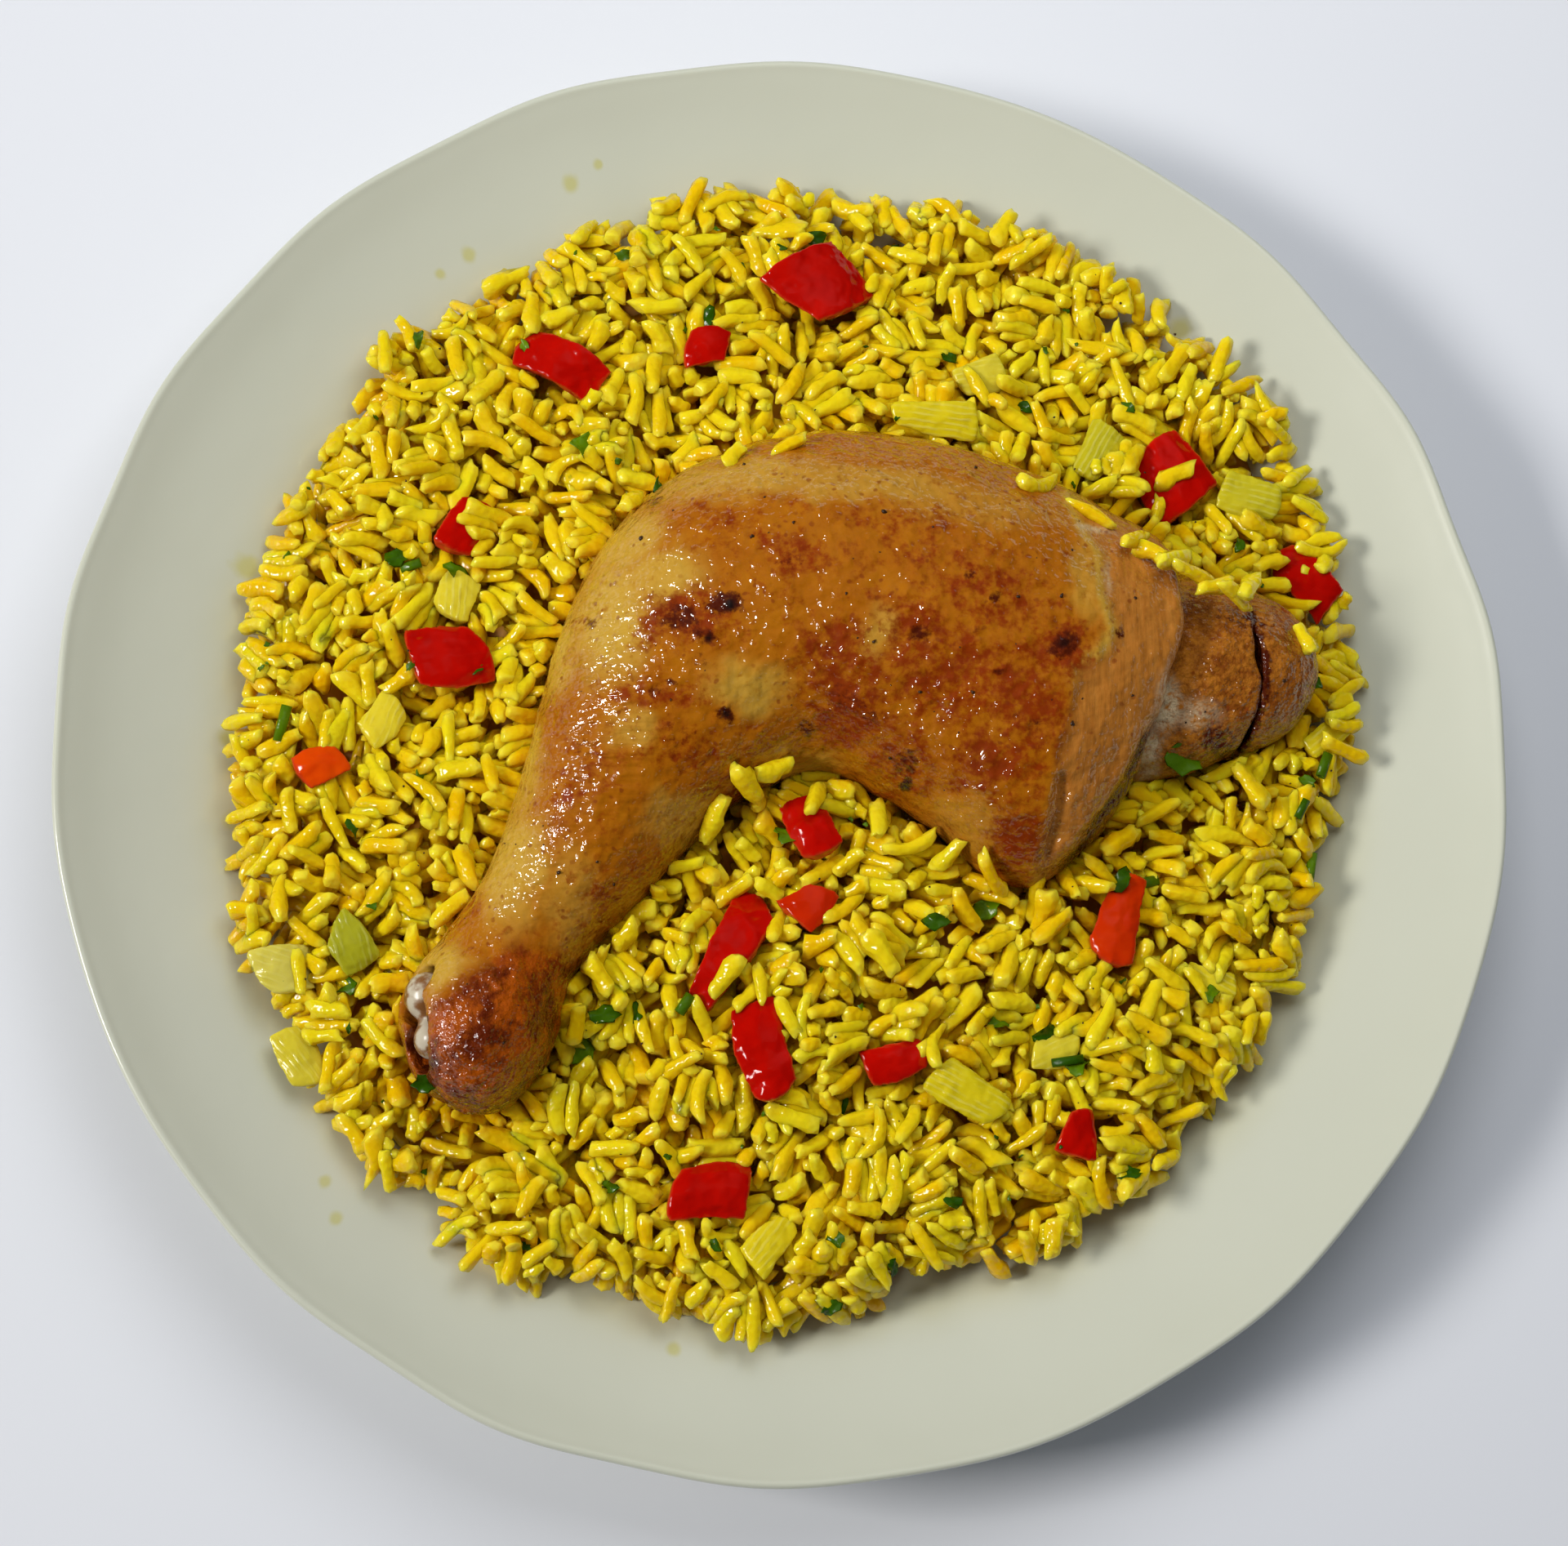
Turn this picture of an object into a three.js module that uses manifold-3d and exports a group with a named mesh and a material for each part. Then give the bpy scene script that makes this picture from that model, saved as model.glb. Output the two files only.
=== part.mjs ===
// A plate of chicken and rice: one roast chicken leg on a bed of yellow rice, with diced red pepper and leek.
// Millimetres, +Z up. The origin is on the table, under the middle of the plate's foot ring.
// The plate's +Y side is the far side for someone who sits at its -Y side.
import * as THREE from "three";
import { mergeVertices } from "three/addons/utils/BufferGeometryUtils.js";
import Module from "manifold-3d";

const wasm = await Module();
wasm.setup();

// ---------- driving dimensions ----------

const GAP = 0.35; // clearance between pieces that touch

const PLATE_RADIUS = 140; // to the crest of the rim
const PLATE_HEIGHT = 28;
const PLATE_WALL = 4.2;
const WELL_RADIUS = 78; // the flat floor of the well
const WELL_FLOOR = 6; // height of the well's floor above the table
const RIM_START_RADIUS = 103;
const RIM_START_HEIGHT = 13.2;
const FOOT_RADIUS = 88;
const FOOT_WIDTH = 6;
const FOOT_DEPTH = 2.6;
const RIM_LOBES = 18; // shallow hand-thrown lobes round the rim
const FIRST_LOBE = 9; // degrees from +X
const LOBE_DEPTH = 0.55;
const PLATE_SEGMENTS = RIM_LOBES * 4;

const HEAP_CENTRE = { x: 3, y: 1 };
const HEAP_RADIUS = 113;
const HEAP_CROWN = 31; // height of the rice above the table, under the chicken's middle
const HEAP_SHOULDER = 26; // its height a little way in from the edge
const HEAP_EDGE = 5; // its thickness at the very edge
const HEAP_SEGMENTS = 60;

const LEG_AROUND = 16; // points round each section of the leg
const LEG_ALONG = 30; // sections from the ankle to the end of the thigh
const BACK_AROUND = 14;
const BACK_ALONG = 10;

const BONE_RADIUS = 4.2;
const BONE_STUB = 15; // as much of the bone as its two rounded ends need to hold together
const KNUCKLE_RADIUS = 5.4; // the two rounded ends of the bone at the ankle

const PEPPER_WALL = 3.2;
const LEEK_WALL = 2.2;

// ---------- small helpers ----------

const radians = THREE.MathUtils.degToRad;
const smooth = THREE.MathUtils.smoothstep;
const mix = THREE.MathUtils.lerp;

function solidOf(geometry) {
  const bare = geometry.clone();
  bare.deleteAttribute("normal");
  bare.deleteAttribute("uv");
  const merged = mergeVertices(bare, 1e-3);
  return new wasm.Manifold(
    new wasm.Mesh({
      numProp: 3,
      vertProperties: merged.attributes.position.array,
      triVerts: new Uint32Array(merged.index.array),
    }),
  );
}

function geometryOf(solid) {
  const made = solid.getMesh();
  const geometry = new THREE.BufferGeometry();
  geometry.setAttribute("position", new THREE.BufferAttribute(made.vertProperties, 3));
  geometry.setIndex(new THREE.BufferAttribute(made.triVerts, 1));
  geometry.computeVertexNormals();
  return geometry;
}

function largestBody(solid) {
  return solid.decompose().reduce((a, b) => (b.volume() > a.volume() ? b : a));
}

// Moves every point of a geometry to where the function says.
function reshape(geometry, place) {
  const position = geometry.attributes.position;
  const point = new THREE.Vector3();
  for (let i = 0; i < position.count; i++) {
    point.fromBufferAttribute(position, i);
    place(point);
    position.setXYZ(i, point.x, point.y, point.z);
  }
  return geometry;
}

// A body of revolution about Z from [radius, height] pairs that start and end on the axis.
function turned(profile, segments) {
  const points = profile.map(([radius, height]) => new THREE.Vector2(radius, height));
  return new THREE.LatheGeometry(points, segments).rotateX(Math.PI / 2);
}

// A value that runs smoothly through the given ones, for t from 0 to 1.
function through(values, t) {
  const at = t * (values.length - 1);
  const i = Math.min(Math.floor(at), values.length - 2);
  const before = values[Math.max(i - 1, 0)];
  const after = values[Math.min(i + 2, values.length - 1)];
  const u = at - i;
  const slopeIn = (values[i + 1] - before) / 2;
  const slopeOut = (after - values[i]) / 2;
  return (
    values[i] * (1 + u * u * (2 * u - 3)) +
    values[i + 1] * u * u * (3 - 2 * u) +
    slopeIn * u * (u - 1) * (u - 1) +
    slopeOut * u * u * (u - 1)
  );
}

// ---------- plate ----------

// The upper face of the plate, from the middle to the crest of the rim.
const upperFace = [
  [0, WELL_FLOOR],
  [WELL_RADIUS, WELL_FLOOR],
  [WELL_RADIUS + 11, WELL_FLOOR + 1.6],
  [WELL_RADIUS + 19, WELL_FLOOR + 4.4],
  [RIM_START_RADIUS, RIM_START_HEIGHT],
  [RIM_START_RADIUS + 12, RIM_START_HEIGHT + 4.7],
  [PLATE_RADIUS - 11, PLATE_HEIGHT - 4.8],
  [PLATE_RADIUS - 2.4, PLATE_HEIGHT - 0.9],
];

const lowerFace = [
  [PLATE_RADIUS - 0.9, PLATE_HEIGHT],
  [PLATE_RADIUS, PLATE_HEIGHT - 0.9],
  [PLATE_RADIUS - 1, PLATE_HEIGHT - 2.4],
  [PLATE_RADIUS - 10, PLATE_HEIGHT - 4.8 - PLATE_WALL * 0.85],
  [RIM_START_RADIUS + 13, RIM_START_HEIGHT + 4.7 - PLATE_WALL],
  [RIM_START_RADIUS + 1, RIM_START_HEIGHT - PLATE_WALL - 0.6],
  [FOOT_RADIUS + 3, 3.4],
  [FOOT_RADIUS, 0],
  [FOOT_RADIUS - FOOT_WIDTH, 0],
  [FOOT_RADIUS - FOOT_WIDTH - 2, FOOT_DEPTH],
  [0, FOOT_DEPTH],
];

// The lobes grow from nothing at the well to their full depth at the rim.
function lobe(point) {
  const radius = Math.hypot(point.x, point.y);
  const share = smooth(radius, RIM_START_RADIUS, PLATE_RADIUS);
  const angle = Math.atan2(point.y, point.x) - radians(FIRST_LOBE);
  const wave = LOBE_DEPTH * Math.cos(RIM_LOBES * angle);
  const factor = radius > 0 ? 1 + (share * wave) / radius : 1;
  point.x *= factor;
  point.y *= factor;
  point.z += share * wave * 0.5;
}

function plateGeometry() {
  return reshape(turned([...upperFace, ...lowerFace].reverse(), PLATE_SEGMENTS), lobe);
}

// What the plate takes out of a food that rests on it: all that lies below its upper face.
function plateCutter() {
  const raised = upperFace.map(([radius, height]) => [radius, height + GAP]);
  const closing = [
    [PLATE_RADIUS - 2.4, -20],
    [0, -20],
  ];
  return solidOf(turned([...raised, ...closing].reverse(), PLATE_SEGMENTS / 2));
}

// ---------- rice ----------

// Clumps of grains make the edge and the top uneven.
function clumps(angle, radius) {
  return (
    Math.sin(11 * angle + radius * 0.11 + 0.6) +
    0.8 * Math.sin(17 * angle - radius * 0.09 + 2.4) +
    0.6 * Math.sin(5 * angle + radius * 0.21 + 1.1)
  );
}

// How far the edge lies from the middle, at an angle seen from above: a heap spooned on a little askew.
function heapOutline(angle) {
  const lean = 2.5 * Math.cos(angle - radians(134));
  const oval = 3.5 * Math.cos(2 * (angle - radians(59)));
  const corners = 1.1 * Math.cos(3 * (angle - radians(19))) + 1.6 * Math.cos(4 * (angle - radians(39)));
  return HEAP_RADIUS + lean + oval + corners + clumps(angle, HEAP_RADIUS);
}

// Height of the plate's upper face at a distance from its middle.
function plateTop(radius) {
  const i = Math.max(1, upperFace.findIndex(([r]) => r >= radius));
  const [r0, z0] = upperFace[i - 1];
  const [r1, z1] = upperFace[i];
  return mix(z0, z1, (radius - r0) / (r1 - r0));
}

// Height of the rice's top. In the crook of the leg it is heaped higher.
function riceTop(x, y) {
  const dx = x - HEAP_CENTRE.x;
  const dy = y - HEAP_CENTRE.y;
  const radius = Math.hypot(dx, dy);
  const angle = Math.atan2(dy, dx);
  const share = Math.min(radius / heapOutline(angle), 1);
  const dome = mix(HEAP_CROWN, HEAP_SHOULDER, smooth(share, 0.35, 0.95));
  const crook = 4 * Math.exp(-((x - 18) ** 2 + (y + 42) ** 2) / (2 * 26 ** 2));
  const unevenness = 0.9 * clumps(angle, radius) * smooth(share, 0.1, 0.5);
  const edgeTop = plateTop(Math.hypot(x, y)) + HEAP_EDGE;
  return mix(dome + crook + unevenness, edgeTop, smooth(share, 0.88, 1.02));
}

function heapSolid() {
  const shares = [0, 0.3, 0.5, 0.66, 0.79, 0.88, 0.95, 1];
  const profile = shares.map((share) => [share * HEAP_RADIUS, 1]);
  const below = [
    [HEAP_RADIUS, 0],
    [0, 0],
  ];
  const heap = turned([...profile, ...below].reverse(), HEAP_SEGMENTS);
  reshape(heap, (point) => {
    const angle = Math.atan2(point.y, point.x);
    const share = Math.hypot(point.x, point.y) / HEAP_RADIUS;
    const radius = share * heapOutline(angle);
    const isTop = point.z > 0.5;
    point.x = HEAP_CENTRE.x + radius * Math.cos(angle);
    point.y = HEAP_CENTRE.y + radius * Math.sin(angle);
    point.z = isTop ? riceTop(point.x, point.y) : -10;
  });
  return solidOf(heap);
}

// ---------- chicken leg ----------

// Ribs across the leg, from the ankle to the cut end of the thigh. Each has the ends of the rib as seen
// from above, on the outside and the inside of the bend, and the heights of its top and its underside.
const legRibs = [
  { at: "ankle end", outer: [-62, -73], inner: [-58, -73.5], top: 34, under: 30 },
  { at: "knuckle end", outer: [-69.5, -66.5], inner: [-51.5, -70.5], top: 43, under: 21 },
  { at: "knuckle", outer: [-73, -57], inner: [-44.5, -62], top: 47.5, under: 18 },
  { at: "top of the knuckle", outer: [-72, -48.5], inner: [-42, -51], top: 46.5, under: 18 },
  { at: "shank", outer: [-64.5, -38.5], inner: [-36.5, -41], top: 43.5, under: 19 },
  { at: "lower calf", outer: [-55, -22], inner: [-27, -31], top: 46, under: 18 },
  { at: "calf", outer: [-50.5, -5], inner: [-15.5, -18], top: 50.5, under: 16 },
  { at: "upper calf", outer: [-46, 14], inner: [-6, -11.5], top: 54, under: 15 },
  { at: "knee", outer: [-37.5, 35], inner: [1.5, -8], top: 57, under: 14 },
  { at: "past the knee", outer: [-22, 51], inner: [7, -7.5], top: 58.5, under: 13.5 },
  { at: "thigh", outer: [2, 59.5], inner: [14, -11], top: 59, under: 13 },
  { at: "thigh's middle", outer: [26, 58.5], inner: [26, -18], top: 58.5, under: 13 },
  { at: "full thigh", outer: [47, 52.5], inner: [37, -28], top: 57, under: 13 },
  { at: "flap of the thigh", outer: [62, 46], inner: [48, -28.5], top: 54.5, under: 14 },
  { at: "edge of the skin", outer: [72.5, 39], inner: [61, -16], top: 51, under: 16 },
  { at: "cut end", outer: [75.5, 30], inner: [71, 4], top: 46.5, under: 21 },
  { at: "end of the thigh", outer: [76.5, 18], inner: [76.5, 14], top: 34, under: 32 },
];

// The piece of back that is still on the thigh, from inside the thigh to its rounded end.
const backRibs = [
  { at: "inside the thigh", outer: [52, 24], inner: [52, 4], top: 34, under: 26 },
  { at: "under the thigh's end", outer: [62, 32], inner: [60, -6], top: 40, under: 19 },
  { at: "hip", outer: [76, 34.5], inner: [71, -8], top: 43.5, under: 17 },
  { at: "back", outer: [87, 31], inner: [84, -2.5], top: 42.5, under: 17 },
  { at: "tail side", outer: [95.5, 28.5], inner: [94.5, 0.5], top: 40.5, under: 18.5 },
  { at: "rounded end", outer: [100.5, 22], inner: [100, 6.5], top: 35.5, under: 22 },
  { at: "tip", outer: [102.5, 15], inner: [102.5, 13], top: 30, under: 28 },
];

// A closed body through a row of ribs: a globe whose rings of latitude are moved onto the ribs.
// A grown body is the same one with its skin moved out, for cutting what it touches.
function ribbedBody(ribs, around, along, grow) {
  const globe = new THREE.SphereGeometry(1, around, along).rotateX(Math.PI / 2);
  const column = (pick) => ribs.map(pick);
  const outerX = column((rib) => rib.outer[0]);
  const outerY = column((rib) => rib.outer[1]);
  const innerX = column((rib) => rib.inner[0]);
  const innerY = column((rib) => rib.inner[1]);
  const tops = column((rib) => rib.top);
  const unders = column((rib) => rib.under);
  const first = ribs[0];
  const last = ribs[ribs.length - 1];
  const axis = new THREE.Vector2(
    (last.outer[0] + last.inner[0] - first.outer[0] - first.inner[0]) / 2,
    (last.outer[1] + last.inner[1] - first.outer[1] - first.inner[1]) / 2,
  ).normalize();
  return reshape(globe, (point) => {
    const isPole = Math.abs(point.z) > 1 - 1e-6;
    const share = 1 - Math.acos(THREE.MathUtils.clamp(point.z, -1, 1)) / Math.PI;
    const turn = Math.atan2(point.y, point.x);
    const outer = new THREE.Vector2(through(outerX, share), through(outerY, share));
    const inner = new THREE.Vector2(through(innerX, share), through(innerY, share));
    const middle = outer.clone().add(inner).multiplyScalar(0.5);
    const rib = outer.clone().sub(inner);
    const halfWidth = isPole ? 0 : rib.length() / 2 + grow;
    rib.normalize();
    const top = through(tops, share) + grow;
    const under = through(unders, share) - grow;
    const level = mix(under, top, 0.44); // where the section is widest
    const across = Math.cos(turn) * halfWidth;
    const up = isPole ? 0 : Math.sin(turn);
    const end = isPole ? (point.z > 0 ? grow : -grow) : 0;
    point.x = middle.x + rib.x * across + axis.x * end;
    point.y = middle.y + rib.y * across + axis.y * end;
    point.z = level + (up > 0 ? up * (top - level) : up * (level - under));
  });
}

// Turns a body the right way out, whichever way its ribs run.
function facingOut(geometry) {
  const solid = solidOf(geometry);
  if (solid.volume() > 0) return solid;
  const index = geometry.index.array;
  for (let i = 0; i < index.length; i += 3) [index[i + 1], index[i + 2]] = [index[i + 2], index[i + 1]];
  return solidOf(geometry);
}

function legBody(grow) {
  const leg = facingOut(ribbedBody(legRibs, LEG_AROUND, LEG_ALONG, grow));
  return leg.add(facingOut(ribbedBody(backRibs, BACK_AROUND, BACK_ALONG, grow)));
}

// The narrow cleft that parts the rounded end from the back: a curved slot, open above and towards -Y.
function cleft() {
  const width = 2.2;
  const length = 26;
  const depth = 22;
  const bow = 5; // how far its ends lie behind its middle
  const slab = new THREE.BoxGeometry(width, length, depth, 1, 5, 1);
  reshape(slab, (point) => {
    const along = point.y / (length / 2);
    point.x += 89 - bow * along ** 2 * (along > 0 ? 0.35 : 1);
    point.y += 8.5;
    point.z += 38;
  });
  return solidOf(slab);
}

// The hollow at the ankle where the skin has drawn back from the bone's two knuckles.
function ankleHollow() {
  const hollow = new THREE.SphereGeometry(1, 10, 7).scale(4.6, 5.6, 5.5);
  return solidOf(hollow.translate(-71, -57, 43));
}

// ---------- leg bone ----------

const knuckles = [
  { x: -68, y: -51.5, z: 36.5, radius: KNUCKLE_RADIUS },
  { x: -66.5, y: -60.8, z: 37.5, radius: KNUCKLE_RADIUS - 0.8 },
];

// The end of the shank bone: a stub that points towards the knee, with the two knuckles on it.
function boneSolid(grow) {
  const ankle = new THREE.Vector3(-64, -50, 35);
  const knee = new THREE.Vector3(-24, 12, 36);
  const profile = [
    [0, -2 - grow],
    [BONE_RADIUS + grow, -2 - grow],
    [BONE_RADIUS * 0.8 + grow, BONE_STUB - 1],
    [BONE_RADIUS * 0.6 + grow, BONE_STUB + grow],
    [0, BONE_STUB + grow],
  ];
  const stub = turned(profile, 8);
  const up = new THREE.Vector3(0, 0, 1);
  stub.applyQuaternion(new THREE.Quaternion().setFromUnitVectors(up, knee.sub(ankle).normalize()));
  stub.translate(ankle.x, ankle.y, ankle.z);
  return knuckles.reduce((bone, knuckle) => {
    const ball = new THREE.SphereGeometry(knuckle.radius + grow, 10, 7);
    return bone.add(solidOf(ball.translate(knuckle.x, knuckle.y, knuckle.z)));
  }, solidOf(stub));
}

// ---------- diced vegetables ----------

// Where each piece lies on the rice. length runs along turn, in degrees from +X; curl is how far its
// wall bends over its width, sink how deep it lies in the rice, pitch and roll how it leans.
const pepperPieces = [
  { x: 6, y: 92, length: 17, width: 14.5, turn: -41, curl: 70, sink: 0, pitch: 6, roll: -10 },
  { x: -45.3, y: 74.5, length: 18, width: 9, turn: -29, curl: 50, sink: 0, pitch: -4, roll: 6, ends: true },
  { x: -16.5, y: 78.5, length: 9, width: 7, turn: 5, curl: 30, sink: 2, pitch: 0, roll: 0 },
  { x: -62.4, y: 41, length: 12, width: 8, turn: 55, curl: 60, sink: 1.6, pitch: 8, roll: 14 },
  { x: -65, y: 14.5, length: 15.5, width: 11.5, turn: 6, curl: 80, sink: 0, pitch: 4, roll: -6 },
  { x: 75, y: 54.5, length: 15.5, width: 13.5, turn: -62, curl: 85, sink: -0.4, pitch: 0, roll: 8 },
  { x: 101.6, y: 34.4, length: 15, width: 8, turn: -48, curl: 60, sink: 0.6, pitch: -5, roll: 6 },
  { x: -88.8, y: -6.1, length: 9.5, width: 6.5, turn: 25, curl: 60, sink: 0.6, pitch: 5, roll: 0 },
  { x: 3.4, y: -18.6, length: 12.5, width: 8, turn: -66, curl: 80, sink: -1.5, pitch: -14, roll: 4 },
  { x: -11.8, y: -41.5, length: 24, width: 8, turn: 60, curl: 50, sink: 1.2, pitch: 4, roll: -8, ends: true },
  { x: -5.4, y: -60.5, length: 19, width: 9, turn: -76, curl: 55, sink: -0.3, pitch: -4, roll: 6 },
  { x: 19.5, y: -62, length: 12, width: 6.5, turn: 16, curl: 50, sink: 1.8, pitch: 0, roll: 0 },
  { x: 62.5, y: -34.5, length: 18, width: 7, turn: 73, curl: 60, sink: 1.5, pitch: 4, roll: 0 },
  { x: 54.3, y: -74.7, length: 9, width: 6.5, turn: 80, curl: 50, sink: 1.5, pitch: 0, roll: 10 },
  { x: -15.3, y: -86.4, length: 15, width: 9.5, turn: 2, curl: 75, sink: 0.2, pitch: 0, roll: -6 },
  { x: 3.5, y: -33, length: 9, width: 7, turn: 40, curl: 50, sink: 1.6, pitch: 0, roll: 0 },
];

const leekPieces = [
  { x: 28, y: 64, length: 17, width: 6.5, turn: -5, curl: 40, sink: -0.6, pitch: 0, roll: 12 },
  { x: 60.5, y: 58.5, length: 11.5, width: 8, turn: 58, curl: 90, sink: 0.4, pitch: 6, roll: 0 },
  { x: 91, y: 50.5, length: 12, width: 8.5, turn: -15, curl: 40, sink: 0.4, pitch: 0, roll: 6 },
  { x: -77.5, y: 2.8, length: 9.5, width: 7, turn: 52, curl: 40, sink: 0.4, pitch: 6, roll: 0 },
  { x: -94.6, y: -45, length: 10.5, width: 9, turn: -65, curl: 50, sink: 0, pitch: 6, roll: -8 },
  { x: -82.5, y: -40.5, length: 9.5, width: 8.5, turn: 55, curl: 70, sink: 0.8, pitch: 0, roll: 8 },
  { x: -91.6, y: -61, length: 12, width: 7.5, turn: -60, curl: 50, sink: 0.4, pitch: 0, roll: -8 },
  { x: 33, y: -68, length: 15, width: 7.5, turn: -32, curl: 50, sink: 0, pitch: 4, roll: 0 },
  { x: 50, y: -59.5, length: 9, width: 6, turn: 8, curl: 80, sink: 0.5, pitch: 0, roll: 0 },
  { x: 37.5, y: 73.5, length: 10, width: 7, turn: 20, curl: 40, sink: 0.5, pitch: 0, roll: 8 },
  { x: -64, y: 27, length: 9, width: 7.5, turn: 70, curl: 60, sink: 0.5, pitch: 5, roll: 0 },
  { x: 80.6, y: -45.8, length: 10, width: 5, turn: -24, curl: 40, sink: 0, pitch: 0, roll: 0 },
  { x: -3.5, y: -95.4, length: 11, width: 6.5, turn: 48, curl: 50, sink: 0.2, pitch: 6, roll: 0 },
  { x: 106, y: 4, length: 12, width: 5, turn: 38, curl: 40, sink: 0, pitch: 4, roll: 0 },
];

// Turns a piece as it leans and lays it on the rice.
function lay(geometry, piece, wall) {
  const { turn, pitch, roll } = piece;
  geometry.rotateX(radians(roll)).rotateY(radians(pitch)).rotateZ(radians(turn));
  return geometry.translate(piece.x, piece.y, riceTop(piece.x, piece.y) + wall * 0.5 - piece.sink);
}

// A diced piece is a slab of the vegetable's wall: bent to the round of the vegetable along its width, or
// along its length where "ends" says so, with its outline cut a little askew, as a knife leaves it.
function dicedPiece(piece, wall) {
  const { length, width, ends } = piece;
  const askew = Math.sin(piece.x * 1.7 + piece.y) * 0.16;
  const narrowing = Math.cos(piece.x + piece.y * 2.3) * 0.28;
  const bend = (ends ? length : width) / radians(piece.curl);
  const slab = new THREE.BoxGeometry(1, 1, wall, ends ? 4 : 2, ends ? 2 : 4, 1);
  reshape(slab, (point) => {
    const corner = 1 - 1.7 * (point.x * point.y) ** 2; // the corners are cut a little short
    const u = (point.x + askew * point.y) * length * corner;
    const v = point.y * (1 + narrowing * point.x) * width * corner;
    const angle = (ends ? u : v) / bend;
    const out = (bend + point.z) * Math.sin(angle);
    point.set(ends ? out : u, ends ? v : out, (bend + point.z) * Math.cos(angle) - bend);
  });
  return solidOf(lay(slab, piece, wall));
}

// The bed that a diced piece presses into the rice.
function bedOf(piece, wall) {
  const span = piece.ends ? piece.length : piece.width;
  const curl = radians(piece.curl);
  const bendDrop = (span / curl) * (1 - Math.cos(curl / 2));
  const bed = new THREE.BoxGeometry(piece.length * 1.16, piece.width * 1.16, wall + bendDrop + 2 * GAP);
  return solidOf(lay(bed.translate(0, 0, -bendDrop / 2), piece, wall));
}

// ---------- materials ----------

function material(color, roughness) {
  return new THREE.MeshStandardMaterial({ color, roughness, metalness: 0 });
}


const glaze = material(0xdcdcc6, 0.25);
const cookedRice = material(0xe3c81e, 0.45);
const roastSkin = material(0xb9753a, 0.3);
const cartilage = material(0xd8cdbd, 0.35);
const redPepper = material(0xb8140c, 0.2);
const paleLeek = material(0xc9c84a, 0.3);

// ---------- assembly ----------

const plateOfFood = new THREE.Group();

function addPiece(name, solid, look) {
  const mesh = new THREE.Mesh(geometryOf(solid), look);
  mesh.name = name;
  plateOfFood.add(mesh);
}

addPiece("plate", solidOf(plateGeometry()), glaze);

const chicken = legBody(0).subtract(cleft()).subtract(ankleHollow()).subtract(boneSolid(GAP));
addPiece("chicken_leg", largestBody(chicken), roastSkin);
addPiece("leg_bone", boneSolid(0), cartilage);

let rice = heapSolid().subtract(plateCutter()).subtract(legBody(GAP)).subtract(boneSolid(GAP));

function addDiced(name, pieces, wall, look) {
  pieces.forEach((piece, index) => {
    const number = String(index + 1).padStart(2, "0");
    addPiece(name + "_" + number, dicedPiece(piece, wall), look);
    rice = rice.subtract(bedOf(piece, wall));
  });
}

addDiced("pepper", pepperPieces, PEPPER_WALL, redPepper);
addDiced("leek", leekPieces, LEEK_WALL, paleLeek);
addPiece("rice", largestBody(rice), cookedRice);

export default plateOfFood;
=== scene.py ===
# %% [markdown]
# # A plate of chicken and rice
# A roast chicken leg, still joined to a piece of the bird's back, lies on yellow rice with diced red
# pepper, leek and chopped herbs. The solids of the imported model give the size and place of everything.
# Here each of them gets its fine surface, and the loose grains are laid one by one.

import math

import bmesh
import bpy
import numpy as np
from mathutils import Matrix, Vector, noise
from mathutils.bvhtree import BVHTree


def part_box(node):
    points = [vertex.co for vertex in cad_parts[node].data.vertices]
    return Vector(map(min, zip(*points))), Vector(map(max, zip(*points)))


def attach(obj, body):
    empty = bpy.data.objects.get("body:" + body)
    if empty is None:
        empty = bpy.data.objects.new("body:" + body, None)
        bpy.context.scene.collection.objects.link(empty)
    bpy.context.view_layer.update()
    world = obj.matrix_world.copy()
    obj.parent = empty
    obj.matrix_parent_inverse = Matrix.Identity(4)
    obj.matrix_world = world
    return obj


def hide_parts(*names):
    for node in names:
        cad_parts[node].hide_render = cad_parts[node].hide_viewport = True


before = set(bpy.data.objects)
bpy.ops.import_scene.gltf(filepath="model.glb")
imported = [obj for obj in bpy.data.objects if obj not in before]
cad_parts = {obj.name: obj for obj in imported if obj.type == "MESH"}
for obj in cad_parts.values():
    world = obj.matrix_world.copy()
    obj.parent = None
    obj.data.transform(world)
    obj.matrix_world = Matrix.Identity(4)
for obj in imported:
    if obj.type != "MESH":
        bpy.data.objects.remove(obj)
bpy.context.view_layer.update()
MM = 0.001
SEED = 11
rng = np.random.default_rng(SEED)
noise.seed_set(SEED)
peppers = sorted(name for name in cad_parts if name.startswith("pepper"))
leeks = sorted(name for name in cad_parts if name.startswith("leek"))

# %% [markdown]
# ## Small tools
# A piece is a mesh object at the origin, whose place is in its mesh. Each one rides on the only body.
# Shapes that come from a solid start from a merged copy of its triangles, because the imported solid
# itself is loose triangles and stays as it is.


# %% Tools for pieces
def add_piece(name, mesh, material, replaced=()):
    """Puts a mesh into the scene as a finished piece."""
    piece = bpy.data.objects.new(name, mesh)
    bpy.context.scene.collection.objects.link(piece)
    mesh.materials.clear()
    mesh.materials.append(material)
    mesh.shade_smooth()
    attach(piece, "root")
    if replaced:
        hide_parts(*replaced)
    print(name, "faces:", len(mesh.polygons))
    return piece


def merged_copy(node):
    """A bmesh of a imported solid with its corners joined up."""
    bm = bmesh.new()
    bm.from_mesh(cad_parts[node].data)
    bmesh.ops.remove_doubles(bm, verts=bm.verts, dist=0.001 * MM)
    return bm


def mesh_of(bm, name):
    mesh = bpy.data.meshes.new(name)
    bm.to_mesh(mesh)
    bm.free()
    return mesh


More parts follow.
